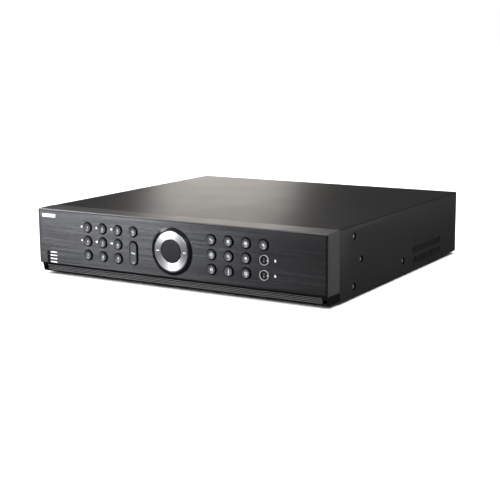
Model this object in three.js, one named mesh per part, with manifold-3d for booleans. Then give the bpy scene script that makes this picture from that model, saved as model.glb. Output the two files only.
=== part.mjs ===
// A two-unit-high digital video recorder for a camera system: sheet-metal case, moulded front
// bezel with a brushed plate, keypads either side of a four-way ring, drives and boards inside,
// and a rear wall of sockets. Millimetres. X runs to the right seen from the front, Y to the
// back, Z up. The model is drawn with Y = 0 on the front plate and Z = 0 under the case, then
// shifted so that the origin is under the middle of the whole object, at the soles of the feet.
import * as THREE from 'three';
import { mergeVertices } from 'three/addons/utils/BufferGeometryUtils.js';
import Module from 'manifold-3d';

const wasm = await Module();
wasm.setup();

// ---------------------------------------------------------------- driving dimensions
const CASE_WIDTH = 430;
const CASE_HEIGHT = 85;
const CASE_DEPTH = 400;
const SHEET = 1.2; // folded steel of the case
const GAP = 0.3; // clearance between pieces that only meet
const BEZEL_DEPTH = 29.5;
const BEZEL_WALL = 2.5;
const FOOT_HEIGHT = 4;
const FOOT_RADIUS = 11;
const FOOT_INSET_X = 43;
const FOOT_INSET_Y = 40;

const PLATE_THICKNESS = 1.2;
const PLATE_HALF_WIDTH = 212.4;
const PLATE_BOTTOM = 12.6;
const PLATE_TOP = 82.6;
const CHIN_TOP = 11.2;
const CHIN_INSET = 1.6;
const STRIP_HALF = 205;
const STRIP_RIBS = 4;
const STRIP_HEIGHTS = [1.2, 10.2];

const KEY_PITCH_X = 24.3;
const KEY_PITCH_Z = 18.1;
const KEY_TOP_ROW = 65;
const NUMBER_KEYS_X = -131.9; // first column of the left keypad
const FUNCTION_KEYS_X = 57.9; // first column of the right keypad
const KEY_HOLE_RADIUS = 6.7;
const KEY_RADIUS = 6.15;
const KEY_PROUD = 1.8;
const KEY_TRAVEL = 1;
const FLANGE_EXTRA = 1.5; // how far a key's flange reaches past its cap
const PAGE_KEY_LENGTH = 30;

const RING_CENTRE_Z = 45.6;
const RING_OUTER = 24.6;
const RING_INNER = 14.7;
const RING_FRONT = -2.6;
const ENTER_RADIUS = 14;
const SURROUND_OUTER = 30;
const SURROUND_BORE = 25.6;
const SURROUND_LIP = -3.1;

const BOARD_FRONT = 12; // keypad board
const BOARD_THICKNESS = 1.6;
const STEM_END = 6.9;
const SWITCH_FRONT = STEM_END + KEY_TRAVEL + GAP;

const REAR_WALL_BACK = CASE_DEPTH - 1.2; // outer face of the rear wall
const REAR_WALL_FRONT = REAR_WALL_BACK - SHEET;
const COAX_PITCH = 18;
const COAX_COLUMNS = 8;
const COAX_ROWS = [62, 40];
const COAX_CENTRE_X = -132;
const COAX_RADIUS = 4.8;
const COAX_BORE = 4;
const COAX_END = 410;
const MONITOR_X = -48;
const AUDIO_COLUMNS = [-27, -13];
const AUDIO_ROWS = [64, 50, 36];
const DISPLAY_X = 20;
const DISPLAY_Z = [62, 46]; // analogue above, digital below
const NETWORK_X = 22;
const USB_X = -4;
const SERIAL_X = -34;
const TERMINAL_X = -132;
const D_SHELL = [16.9, 8.3];
const FAN_X = 83;
const FAN_Z = 42.5;
const FAN_SIZE = 60;
const FAN_BORE = 28.5;
const INLET_X = 178;
const SWITCH_X = 143;
const POWER_Z = 44;

const MAINBOARD_Z = 8;
const MAINBOARD_TOP = MAINBOARD_Z + BOARD_THICKNESS;
const SERIAL_Z = MAINBOARD_TOP + 6.8;

// ---------------------------------------------------------------- shape helpers
// Turns a closed three.js geometry into a solid, whichever way its faces were wound.
function solid(geometry) {
  const bare = geometry.clone();
  bare.deleteAttribute('normal');
  bare.deleteAttribute('uv');
  const merged = mergeVertices(bare, 1e-4);
  const points = merged.attributes.position.array;
  const corners = [];
  let volume = 0;
  for (let i = 0; i < merged.index.count; i += 3) {
    const [a, b, c] = [0, 1, 2].map((k) => merged.index.getX(i + k));
    if (a === b || b === c || c === a) continue;
    corners.push(a, b, c);
    const [p, q, r] = [a, b, c].map((v) => new THREE.Vector3().fromArray(points, 3 * v));
    volume += p.dot(q.cross(r));
  }
  if (volume < 0) corners.reverse();
  return new wasm.Manifold(
    new wasm.Mesh({
      numProp: 3,
      vertProperties: new Float32Array(points),
      triVerts: new Uint32Array(corners),
    }),
  );
}

function geometryOf(body) {
  const mesh = body.getMesh();
  const geometry = new THREE.BufferGeometry();
  geometry.setAttribute('position', new THREE.BufferAttribute(mesh.vertProperties, 3));
  geometry.setIndex(new THREE.BufferAttribute(mesh.triVerts, 1));
  geometry.computeVertexNormals();
  return geometry;
}

const joined = (bodies) => bodies.reduce((whole, body) => whole.add(body));
const cut = (body, tools) => tools.reduce((rest, tool) => rest.subtract(tool), body);

function outline(points) {
  return new THREE.Shape(points.map(([a, b]) => new THREE.Vector2(a, b)));
}

function rectangle(centreA, centreB, width, height) {
  const [a, b] = [width / 2, height / 2];
  return outline([
    [centreA - a, centreB - b],
    [centreA + a, centreB - b],
    [centreA + a, centreB + b],
    [centreA - a, centreB + b],
  ]);
}

// Points along an arc, both ends included, angles in degrees.
function arc(centreA, centreB, radius, from, to, steps) {
  return Array.from({ length: steps + 1 }, (_, i) => {
    const angle = THREE.MathUtils.degToRad(from + ((to - from) * i) / steps);
    return [centreA + radius * Math.cos(angle), centreB + radius * Math.sin(angle)];
  });
}

function disc(centreA, centreB, radius, segments = 20) {
  return outline(arc(centreA, centreB, radius, 0, 360, segments).slice(1));
}

// An upright slot with round ends, drawn around a centre.
function stadium(centreA, centreB, width, height) {
  const radius = width / 2;
  const straight = height / 2 - radius;
  return outline([
    ...arc(centreA, centreB + straight, radius, 0, 180, 7),
    ...arc(centreA, centreB - straight, radius, 180, 360, 7),
  ]);
}

function extruded(shape, depth) {
  return new THREE.ExtrudeGeometry(shape, { depth, bevelEnabled: false });
}

// A flat piece drawn in X and Z, standing between two depths.
function upright(shape, front, back) {
  const geometry = extruded(shape, back - front);
  geometry.rotateX(Math.PI / 2);
  geometry.translate(0, back, 0);
  return solid(geometry);
}

// A flat piece drawn in X and Y, lying between two heights.
function lying(shape, bottom, top) {
  const geometry = extruded(shape, top - bottom);
  geometry.translate(0, 0, bottom);
  return solid(geometry);
}

// The geometry of a bar drawn in Y and Z, running from one X to another.
function barGeometry(shape, left, right) {
  const geometry = extruded(shape, right - left);
  const sideways = new THREE.Matrix4().makeBasis(
    new THREE.Vector3(0, 1, 0),
    new THREE.Vector3(0, 0, 1),
    new THREE.Vector3(1, 0, 0),
  );
  geometry.applyMatrix4(sideways);
  geometry.translate(left, 0, 0);
  return geometry;
}

const bar = (shape, left, right) => solid(barGeometry(shape, left, right));

function block(left, right, front, back, bottom, top) {
  const geometry = new THREE.BoxGeometry(right - left, back - front, top - bottom);
  geometry.translate((left + right) / 2, (front + back) / 2, (bottom + top) / 2);
  return solid(geometry);
}

// A piece turned about a Y axis through (x, z); the profile holds [radius, depth] pairs.
function turned(profile, segments, x = 0, z = 0) {
  const points = profile.map(([radius, depth]) => new THREE.Vector2(radius, depth));
  const geometry = new THREE.LatheGeometry(points, segments);
  geometry.translate(x, 0, z);
  return solid(geometry);
}

function rod(radius, front, back, x, z, segments = 12) {
  return turned([[0, front], [radius, front], [radius, back], [0, back]], segments, x, z);
}

// A round post standing between two heights.
function post(radius, bottom, top, x, y, segments = 8) {
  const geometry = new THREE.CylinderGeometry(radius, radius, top - bottom, segments);
  geometry.rotateX(Math.PI / 2);
  geometry.translate(x, y, (bottom + top) / 2);
  return solid(geometry);
}

// A round hole or pin along X.
function crossRod(radius, left, right, y, z, segments = 12) {
  const geometry = new THREE.CylinderGeometry(radius, radius, right - left, segments);
  geometry.rotateZ(Math.PI / 2);
  geometry.translate((left + right) / 2, y, z);
  return solid(geometry);
}

// ---------------------------------------------------------------- materials
const paint = (color, roughness, metalness) =>
  new THREE.MeshStandardMaterial({ color, roughness, metalness });
const caseSteel = paint(0x3a3938, 0.55, 0.3);
const bareSteel = paint(0x9a9ca0, 0.4, 0.9);
const blackPlastic = paint(0x1c1c1d, 0.5, 0);
const brushedPlate = paint(0x4a4b50, 0.35, 0.8);
const keyPlastic = paint(0x35363a, 0.4, 0.1);
const ringMetal = paint(0xb9bbbf, 0.25, 1);
const enterPlastic = paint(0x4b4a50, 0.5, 0.1);
const clearPlastic = paint(0xd8e0e6, 0.15, 0);
const footRubber = paint(0x161616, 0.9, 0);
const boardGreen = paint(0x1d5a34, 0.6, 0);
const socketMetal = paint(0xc3c5c8, 0.25, 1);
const aluminium = paint(0xb4b7ba, 0.35, 1);
const terminalGreen = paint(0x2c8a4a, 0.5, 0);
const cableGrey = paint(0x9d9d9f, 0.7, 0);

const assembly = new THREE.Group();

function place(name, body, material, x = 0, y = 0, z = 0) {
  const mesh = new THREE.Mesh(geometryOf(body), material);
  mesh.name = name;
  mesh.position.set(x, y, z);
  assembly.add(mesh);
}

// ---------------------------------------------------------------- sheet-metal case
const COVER_INNER = CASE_WIDTH / 2 - SHEET;
const COVER_FRONT = BEZEL_DEPTH + 0.5;
const CHASSIS_FRONT = COVER_FRONT + GAP;
const CHASSIS_HALF = COVER_INNER - GAP;
const CHASSIS_TOP = CASE_HEIGHT - SHEET - 2 * GAP; // clears the bend of the cover
const VENT_FRONT = 246;
const VENT_PITCH = 7;
const VENT_COUNT = 14;
const VENT_WIDTH = 3;
const VENT_ROWS = [[6.5, 16.7], [21.5, 30.5]];
const SCREW_PLACES = [[67.8, 71.5], [87.2, 41.1], [68.5, 11.1], [212.8, 17]];
const SCREW_HOLE_RADIUS = 3.3;

// The cover is one sheet folded down both sides, with small bend radii.
function coverOutline() {
  const [outer, inner, bend, steps] = [CASE_WIDTH / 2, COVER_INNER, 2.4, 3];
  const [centre, height] = [outer - bend, CASE_HEIGHT - bend];
  return outline([
    [-outer, 0],
    [-inner, 0],
    ...arc(-centre, height, bend - SHEET, 180, 90, steps),
    ...arc(centre, height, bend - SHEET, 90, 0, steps),
    [inner, 0],
    [outer, 0],
    ...arc(centre, height, bend, 0, 90, steps),
    ...arc(-centre, height, bend, 90, 180, steps),
  ]);
}

function makeTopCover() {
  const tools = [];
  for (const [left, right] of [[-CASE_WIDTH, -200], [200, CASE_WIDTH]]) {
    for (const [bottom, top] of VENT_ROWS) {
      for (let i = 0; i < VENT_COUNT; i += 1) {
        const front = VENT_FRONT + i * VENT_PITCH;
        tools.push(block(left, right, front, front + VENT_WIDTH, bottom, top));
      }
    }
    for (const [y, z] of SCREW_PLACES) tools.push(crossRod(SCREW_HOLE_RADIUS, left, right, y, z, 10));
  }
  place('top_cover', cut(upright(coverOutline(), COVER_FRONT, CASE_DEPTH), tools), caseSteel);
}

// Every opening in the rear wall, each a little larger than what comes through it.
function rearWallHoles() {
  const holes = [];
  for (const z of COAX_ROWS) {
    for (let i = 0; i < COAX_COLUMNS; i += 1) holes.push([coaxX(i), z, COAX_RADIUS + 0.6]);
    holes.push([MONITOR_X, z, COAX_RADIUS + 0.6]);
  }
  for (const x of AUDIO_COLUMNS) {
    for (const z of AUDIO_ROWS) holes.push([x, z, 4.7]);
  }
  const round = holes.map(([x, z, radius]) => rod(radius, 390, CASE_DEPTH, x, z, 8));
  const square = [
    [DISPLAY_X, DISPLAY_Z[0], 18, 9.4],
    [DISPLAY_X, DISPLAY_Z[1], 16.2, 6.6],
    [NETWORK_X, MAINBOARD_TOP + 7.4, 17, 14.6],
    [USB_X, MAINBOARD_TOP + 8.5, 15.2, 16.8],
    [SERIAL_X, SERIAL_Z, 18.6, 10.4],
    [TERMINAL_X, MAINBOARD_TOP + 6.6, 104, 11.6],
    [INLET_X, POWER_Z, 28, 21],
    [SWITCH_X, POWER_Z, 14.4, 20.6],
  ].map(([x, z, width, height]) => upright(rectangle(x, z, width, height), 390, CASE_DEPTH));
  return [...round, ...square, ...fanGrille()];
}

function coaxX(column) {
  return COAX_CENTRE_X + (column - (COAX_COLUMNS - 1) / 2) * COAX_PITCH;
}

// Upright slots that fill the circle in front of the fan.
function fanGrille() {
  const slots = [];
  const [pitch, width, radius] = [5.2, 3.6, 26.5];
  for (let i = -4; i <= 4; i += 1) {
    const x = i * pitch;
    const height = 2 * Math.sqrt(radius * radius - x * x);
    slots.push(upright(rectangle(FAN_X + x, FAN_Z, width, height), 390, CASE_DEPTH));
  }
  return slots;
}

function makeChassis() {
  const [front, back] = [CHASSIS_FRONT, REAR_WALL_BACK];
  const floor = block(-CHASSIS_HALF, CHASSIS_HALF, front, back, 0, SHEET);
  const frontWall = cut(block(-CHASSIS_HALF, CHASSIS_HALF, front, front + SHEET, 0, CHASSIS_TOP), [
    block(14, 56, front - 1, front + 2, 24, 36),
  ]);
  const rearWall = cut(
    block(-CHASSIS_HALF, CHASSIS_HALF, REAR_WALL_FRONT, back, 0, CHASSIS_TOP),
    rearWallHoles(),
  );
  const flange = (side) => {
    const edges = [side * CHASSIS_HALF, side * (CHASSIS_HALF - SHEET)].sort((a, b) => a - b);
    return block(edges[0], edges[1], front, back, 0, 5.5);
  };
  const posts = [];
  for (const x of [-198, -78, 40]) {
    for (const y of [212, 380]) posts.push(post(3, SHEET / 2, MAINBOARD_Z - GAP, x, y));
  }
  place('chassis_base', joined([floor, frontWall, rearWall, flange(-1), flange(1), ...posts]), caseSteel);
}

// ---------------------------------------------------------------- front bezel and plate
const keyColumns = (first) => [0, 1, 2, 3].map((i) => first + i * KEY_PITCH_X);
const keyRows = [0, 1, 2].map((i) => KEY_TOP_ROW - i * KEY_PITCH_Z);
const numberColumns = keyColumns(NUMBER_KEYS_X);
const functionColumns = keyColumns(FUNCTION_KEYS_X);
const PAGE_KEY_X = numberColumns[3];
const PAGE_KEY_Z = (keyRows[1] + keyRows[2]) / 2;
const LIGHT_X = -199.2;
const LIGHT_ROWS = [27.4, 23, 18.6, 14.2];
const LIGHT_WIDTH = 2.6;
const LIGHT_HEIGHT = 1.6;

// Centres of the round keys, in reading order: nine numbers, the zero, ten function keys.
function roundKeyPlaces() {
  const places = [];
  keyRows.forEach((z, row) => {
    for (let i = 0; i < 3; i += 1) places.push([`key_${3 * row + i + 1}`, numberColumns[i], z]);
  });
  places.push(['key_0', numberColumns[3], keyRows[0]]);
  keyRows.forEach((z, row) => {
    for (let i = 0; i < 3; i += 1) {
      places.push([`function_key_${3 * row + i + 1}`, functionColumns[i], z]);
    }
  });
  places.push(['function_key_10', functionColumns[3], keyRows[0]]);
  return places;
}

const ringKeyPlaces = [
  ['ring_key_upper', functionColumns[3], keyRows[1]],
  ['ring_key_lower', functionColumns[3], keyRows[2]],
];

function makePlate() {
  const shape = outline([
    [-PLATE_HALF_WIDTH, PLATE_BOTTOM],
    [PLATE_HALF_WIDTH, PLATE_BOTTOM],
    [PLATE_HALF_WIDTH, PLATE_TOP],
    [-PLATE_HALF_WIDTH, PLATE_TOP],
  ]);
  for (const [, x, z] of roundKeyPlaces()) shape.holes.push(disc(x, z, KEY_HOLE_RADIUS, 12));
  for (const [, x, z] of ringKeyPlaces) shape.holes.push(disc(x, z, KEY_HOLE_RADIUS, 12));
  shape.holes.push(
    stadium(PAGE_KEY_X, PAGE_KEY_Z, 2 * KEY_HOLE_RADIUS, PAGE_KEY_LENGTH + 1.1),
  );
  for (const z of LIGHT_ROWS) shape.holes.push(rectangle(LIGHT_X, z, LIGHT_WIDTH, LIGHT_HEIGHT));
  const plate = upright(shape, 0, PLATE_THICKNESS);
  const ringHole = rod(SURROUND_OUTER - 2, -5, 5, 0, RING_CENTRE_Z, 32);
  place('front_plate', plate.subtract(ringHole), brushedPlate);
}

// The bezel is a hollow moulding, open to the back, with windows behind the keys.
function makeBezel() {
  const [half, back] = [CASE_WIDTH / 2, BEZEL_DEPTH];
  const upper = bar(
    outline([[0, PLATE_BOTTOM - 0.8], [4, CHIN_TOP], [back, CHIN_TOP], [back, CASE_HEIGHT],
      [1.2, CASE_HEIGHT - 0.6], [0, CASE_HEIGHT - 1.6]]),
    -half,
    half,
  );
  const chin = bar(
    outline([[3.2, 13], [3.2, 10.6], [5.4, 0.6], [6, 0], [back, 0], [back, 13]]),
    -half + CHIN_INSET,
    half - CHIN_INSET,
  );
  const inner = half - BEZEL_WALL - 0.8;
  const windowZ = [keyRows[2] - 10, keyRows[0] + 10];
  const keypadWindow = (columns) =>
    block(columns[0] - 10, columns[3] + 10, 0, 9, windowZ[0], windowZ[1]);
  const bezel = cut(joined([upper, chin]), [
    block(-inner, inner, 4, back + 1, 2.5, CASE_HEIGHT - BEZEL_WALL),
    block(-PLATE_HALF_WIDTH - GAP, PLATE_HALF_WIDTH + GAP, -1, PLATE_THICKNESS + GAP,
      PLATE_BOTTOM - GAP, PLATE_TOP + GAP),
    block(-STRIP_HALF - GAP, STRIP_HALF + GAP, -1, 6.6, STRIP_HEIGHTS[0] - GAP,
      STRIP_HEIGHTS[1] + GAP),
    keypadWindow(numberColumns),
    keypadWindow(functionColumns),
    rod(SURROUND_OUTER - 1.7, -1, 9, 0, RING_CENTRE_Z, 24),
    block(LIGHT_X - 2, LIGHT_X + 2, 0, 9, LIGHT_ROWS[3] - 1.2, LIGHT_ROWS[0] + 1.2),
  ]);
  place('front_bezel', bezel, blackPlastic);
}

// A strip under the front plate, with fine ribs along it.
function makeChinStrip() {
  const [bottom, top] = STRIP_HEIGHTS;
  const [face, root] = [3.4, 6.3];
  const pitch = (top - bottom) / STRIP_RIBS;
  const lean = 2.2 / (top - bottom);
  const points = [[root, top]];
  for (let i = 0; i < STRIP_RIBS; i += 1) {
    const z = top - i * pitch;
    const y = face + (top - z) * lean;
    points.push([y + 0.5, z], [y, z - 0.5], [y + 0.15, z - pitch + 0.8], [y + 0.8, z - pitch + 0.3]);
  }
  points.push([root, bottom]);
  place('chin_strip', bar(outline(points), -STRIP_HALF, STRIP_HALF), blackPlastic);
}

// One clear moulding whose four tips fill the small windows of the status lights.
function makeLightGuide() {
  const back = block(LIGHT_X - 1.6, LIGHT_X + 1.6, 1.6, 8, LIGHT_ROWS[3] - 0.8, LIGHT_ROWS[0] + 0.8);
  const tips = LIGHT_ROWS.map((z) =>
    upright(rectangle(LIGHT_X, z, LIGHT_WIDTH - 0.4, LIGHT_HEIGHT - 0.4), -0.1, 2));
  place('status_light_guide', joined([back, ...tips]), clearPlastic);
}

// ---------------------------------------------------------------- keys
const FLANGE_FRONT = PLATE_THICKNESS + GAP;
const FLANGE_BACK = FLANGE_FRONT + 1.2;
const KEY_SIDES = 12;

// A dished cap, a flange that the plate holds in, and a stem that meets its switch.
function makeRoundKeys() {
  const key = turned(
    [
      [0, 0.8 - KEY_PROUD],
      [KEY_RADIUS - 0.3, -KEY_PROUD],
      [KEY_RADIUS, FLANGE_FRONT],
      [KEY_RADIUS + FLANGE_EXTRA, FLANGE_FRONT],
      [KEY_RADIUS + FLANGE_EXTRA, FLANGE_BACK],
      [2, FLANGE_BACK],
      [2, STEM_END],
      [0, STEM_END],
    ],
    KEY_SIDES,
  );
  for (const [name, x, z] of roundKeyPlaces()) place(name, key, keyPlastic, x, 0, z);
}

function makeRingKeys() {
  const key = turned(
    [
      [0, 0.1],
      [KEY_RADIUS - 1, 0.1],
      [KEY_RADIUS - 1, -0.4],
      [KEY_RADIUS, -0.4],
      [KEY_RADIUS, FLANGE_FRONT],
      [KEY_RADIUS + FLANGE_EXTRA, FLANGE_FRONT],
      [KEY_RADIUS + FLANGE_EXTRA, FLANGE_BACK],
      [2, FLANGE_BACK],
      [2, STEM_END],
      [0, STEM_END],
    ],
    KEY_SIDES,
  );
  for (const [name, x, z] of ringKeyPlaces) place(name, key, keyPlastic, x, 0, z);
}

function makePageKey() {
  const layer = (radius, length, front, back) =>
    upright(stadium(0, 0, 2 * radius, length), front, back);
  const key = joined([
    layer(KEY_RADIUS - 0.5, PAGE_KEY_LENGTH - 1, -KEY_PROUD, 0),
    layer(KEY_RADIUS, PAGE_KEY_LENGTH, 0.5 - KEY_PROUD, FLANGE_BACK),
    layer(KEY_RADIUS + FLANGE_EXTRA, PAGE_KEY_LENGTH + 2 * FLANGE_EXTRA, FLANGE_FRONT, FLANGE_BACK),
    rod(2, FLANGE_BACK - 0.5, STEM_END, 0, 0),
  ]);
  place('page_key', key, keyPlastic, PAGE_KEY_X, 0, PAGE_KEY_Z);
}

// ---------------------------------------------------------------- four-way ring
const PIVOT_OUTER = 18.4;
const PIVOT_INNER = 15.6;
const PIVOT_FRONT = 2.2;
const PIVOT_BACK = 4.2;
const PLUNGER_ORBIT = 21.5;
const PLUNGER_RADIUS = 1.6;
const RING_SIDES = 32;
const PLUNGER_ANGLES = [90, 270, 15, 165]; // clear of the hinge pins along X

function makeSurround() {
  const surround = turned(
    [
      [SURROUND_BORE, 6],
      [SURROUND_BORE, SURROUND_LIP],
      [SURROUND_BORE + 1.2, SURROUND_LIP],
      [SURROUND_OUTER, -GAP - 0.5],
      [SURROUND_OUTER, -GAP],
      [SURROUND_OUTER - 2.4, -GAP],
      [SURROUND_OUTER - 2.4, 6],
      [SURROUND_BORE, 6],
    ],
    RING_SIDES,
  );
  place('ring_surround', surround, blackPlastic, 0, 0, RING_CENTRE_Z);
}

// A thin ring that tilts on pins along X and carries the outer ring on pins along Z.
function makeRingPivot() {
  const body = turned(
    [
      [PIVOT_INNER, PIVOT_FRONT],
      [PIVOT_OUTER, PIVOT_FRONT],
      [PIVOT_OUTER, PIVOT_BACK],
      [PIVOT_INNER, PIVOT_BACK],
      [PIVOT_INNER, PIVOT_FRONT],
    ],
    24,
  );
  const [middle, reach] = [(PIVOT_FRONT + PIVOT_BACK) / 2, SURROUND_BORE - 0.5];
  const pins = [
    crossRod(0.8, PIVOT_OUTER - 1, reach, middle, 0, 6),
    crossRod(0.8, -reach, 1 - PIVOT_OUTER, middle, 0, 6),
    post(0.8, PIVOT_OUTER - 1, PLUNGER_ORBIT - PLUNGER_RADIUS - GAP, 0, middle, 6),
    post(0.8, PLUNGER_RADIUS + GAP - PLUNGER_ORBIT, 1 - PIVOT_OUTER, 0, middle, 6),
  ];
  place('ring_pivot', joined([body, ...pins]), blackPlastic, 0, 0, RING_CENTRE_Z);
}

function makeRing() {
  const ring = turned(
    [
      [RING_INNER, 0],
      [RING_INNER, RING_FRONT],
      [RING_OUTER - 0.5, RING_FRONT],
      [RING_OUTER, RING_FRONT + 0.5],
      [RING_OUTER, 0],
      [RING_INNER, 0],
    ],
    RING_SIDES,
  );
  const plungers = PLUNGER_ANGLES.map((degrees) => {
    const angle = THREE.MathUtils.degToRad(degrees);
    const [x, z] = [PLUNGER_ORBIT * Math.cos(angle), PLUNGER_ORBIT * Math.sin(angle)];
    return rod(PLUNGER_RADIUS, -0.5, STEM_END, x, z, 8);
  });
  place('navigation_ring', joined([ring, ...plungers]), ringMetal, 0, 0, RING_CENTRE_Z);
}

function makeEnterKey() {
  const key = turned(
    [
      [0, RING_FRONT - 0.2],
      [ENTER_RADIUS - 1, RING_FRONT],
      [ENTER_RADIUS, RING_FRONT + 0.6],
      [ENTER_RADIUS, PIVOT_BACK],
      [3, PIVOT_BACK],
      [3, STEM_END],
      [0, STEM_END],
    ],
    24,
  );
  place('enter_key', key, enterPlastic, 0, 0, RING_CENTRE_Z);
}

// ---------------------------------------------------------------- keypad board and ribbon
function makeKeypadBoard() {
  const back = BOARD_FRONT + BOARD_THICKNESS;
  const board = upright(rectangle(0, 46, 2 * 204, 66), BOARD_FRONT, back);
  const places = [...roundKeyPlaces(), ...ringKeyPlaces].map(([, x, z]) => [x, z]);
  places.push([PAGE_KEY_X, PAGE_KEY_Z], [0, RING_CENTRE_Z]);
  for (const degrees of PLUNGER_ANGLES) {
    const angle = THREE.MathUtils.degToRad(degrees);
    places.push([
      PLUNGER_ORBIT * Math.cos(angle),
      RING_CENTRE_Z + PLUNGER_ORBIT * Math.sin(angle),
    ]);
  }
  const switches = places.map(([x, z]) =>
    upright(rectangle(x, z, 6, 6), SWITCH_FRONT, BOARD_FRONT + 0.4));
  place('keypad_board', joined([board, ...switches]), boardGreen);
}

// A flat ribbon from the keypad board, through the front wall, down to the mainboard.
function makeRibbon() {
  const thickness = 1;
  const route = [[14, 30], [40, 30], [62, 14], [196, 14], [206, 10.4]];
  const upperEdge = route.map(([y, z]) => [y, z + thickness]);
  const body = bar(outline([...route, ...upperEdge.reverse()]), 20, 50);
  place('ribbon_cable', body, cableGrey);
}

// ---------------------------------------------------------------- drives
const DRIVE_WIDTH = 101.6;
const DRIVE_LENGTH = 147;
const DRIVE_HEIGHT = 26.1;
const DRIVE_FRONT = 44;
const DRIVE_BOTTOM = 12;
const BRACKET_LEFT = -208;

// A tray with three upright walls that hold two drives side by side.
function makeDriveBracket() {
  const right = BRACKET_LEFT + 2 * DRIVE_WIDTH + 3 * SHEET + 4 * GAP;
  const middle = (BRACKET_LEFT + right) / 2;
  const [low, high] = [DRIVE_BOTTOM - GAP - SHEET, DRIVE_BOTTOM + 20];
  const [front, back] = [DRIVE_FRONT - 4, DRIVE_FRONT + DRIVE_LENGTH + 4];
  const walls = [BRACKET_LEFT + SHEET / 2, middle, right - SHEET / 2].map((x) =>
    block(x - SHEET / 2, x + SHEET / 2, front, back, low, high));
  const tray = block(BRACKET_LEFT, right, front, back, low, low + SHEET);
  const legs = [];
  for (const x of [BRACKET_LEFT + 12, middle, right - 12]) {
    for (const y of [front + 14, back - 14]) legs.push(post(4, SHEET + GAP, low + 0.5, x, y));
  }
  place('drive_bracket', joined([tray, ...walls, ...legs]), bareSteel);
}

// A 3.5-inch drive: cast body, thinner lid on top, connector notch at the rear.
function makeDrives() {
  const half = DRIVE_WIDTH / 2;
  const casting = block(-half, half, 0, DRIVE_LENGTH, 0, DRIVE_HEIGHT - 2);
  const lid = block(3 - half, half - 3, 4, DRIVE_LENGTH - 10, DRIVE_HEIGHT - 3, DRIVE_HEIGHT);
  const notch = block(-36, 14, DRIVE_LENGTH - 5, DRIVE_LENGTH + 1, -1, 6);
  const drive = joined([casting, lid]).subtract(notch);
  for (const index of [0, 1]) {
    const x = BRACKET_LEFT + SHEET + GAP + half + index * (DRIVE_WIDTH + SHEET + 2 * GAP);
    place(`hard_drive_${index + 1}`, drive, aluminium, x, DRIVE_FRONT, DRIVE_BOTTOM);
  }
}

// ---------------------------------------------------------------- mainboard
function makeMainboard() {
  const board = block(-204, 50, 204, 394, MAINBOARD_Z, MAINBOARD_TOP);
  const chips = [
    [-120, 250, 35, 35, 2.4],
    [-60, 250, 14, 20, 1.6],
    [-60, 275, 14, 20, 1.6],
    [-160, 320, 24, 24, 2],
    [-120, 320, 24, 24, 2],
    [-20, 330, 20, 20, 2],
    [10, 290, 12, 30, 9],
    [35, 209, 32, 7, 6],
  ].map(([x, y, width, depth, height]) =>
    block(x - width / 2, x + width / 2, y - depth / 2, y + depth / 2, MAINBOARD_TOP - 0.4,
      MAINBOARD_TOP + height));
  const cans = [[-10, 225], [-10, 240], [20, 225]].map(([x, y]) =>
    post(5, MAINBOARD_TOP - 0.4, MAINBOARD_TOP + 14, x, y, 12));
  // The ribbon's plug on the board is cut away where the ribbon enters it.
  const plugMouth = block(18, 52, 200, 210, MAINBOARD_TOP + 0.2, MAINBOARD_TOP + 8);
  place('mainboard', joined([board, ...chips, ...cans]).subtract(plugMouth), boardGreen);
}

function makeHeatsink() {
  const [left, right, base, top] = [-140, -100, MAINBOARD_TOP + 2.4 + GAP, MAINBOARD_TOP + 24];
  const plate = block(left, right, 230, 270, base, base + 3);
  const fins = [];
  for (let x = left; x < right; x += 4) fins.push(block(x, x + 1.2, 230, 270, base + 2, top));
  place('heatsink', joined([plate, ...fins]), aluminium);
}

// ---------------------------------------------------------------- rear sockets
// A coaxial jack: a barrel, open at the back, on its moulding behind the wall.
function coaxJack(x, z, front) {
  const floor = COAX_END - 8;
  const profile = [[0, front], [COAX_RADIUS, front], [COAX_RADIUS, COAX_END],
    [COAX_BORE, COAX_END], [COAX_BORE, floor], [0, floor]];
  return turned(profile, 10, x, z);
}

// Ganged jacks: one moulding for the camera inputs and one for the two monitor outputs.
function makeCoaxBlocks() {
  const back = REAR_WALL_FRONT - GAP;
  const [low, high] = [COAX_ROWS[1] - 9, COAX_ROWS[0] + 9];
  const columns = Array.from({ length: COAX_COLUMNS }, (_, i) => coaxX(i));
  const jacksAt = (places) => places.flatMap((x) => COAX_ROWS.map((z) => coaxJack(x, z, back - 2)));
  const videoBody = block(coaxX(0) - 8.7, coaxX(COAX_COLUMNS - 1) + 8.7, back - 18, back, low, high);
  place('video_sockets', joined([videoBody, ...jacksAt(columns)]), socketMetal);
  const monitorBody = block(MONITOR_X - 8.4, MONITOR_X + 8.4, back - 18, back, low, high);
  place('monitor_sockets', joined([monitorBody, ...jacksAt([MONITOR_X])]), socketMetal);
}

// Six phono sockets in one moulding.
function makeAudioSockets() {
  const back = REAR_WALL_FRONT - GAP;
  const body = block(AUDIO_COLUMNS[0] - 6.5, AUDIO_COLUMNS[1] + 6.5, back - 12, back,
    AUDIO_ROWS[2] - 7, AUDIO_ROWS[0] + 7);
  const jacks = [];
  for (const x of AUDIO_COLUMNS) {
    for (const z of AUDIO_ROWS) {
      jacks.push(turned([[0, back - 1], [4.15, back - 1], [4.15, back + 10], [1.6, back + 10],
        [1.6, back + 3], [0, back + 3]], 10, x, z));
    }
  }
  place('audio_sockets', joined([body, ...jacks]), blackPlastic);
}

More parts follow.
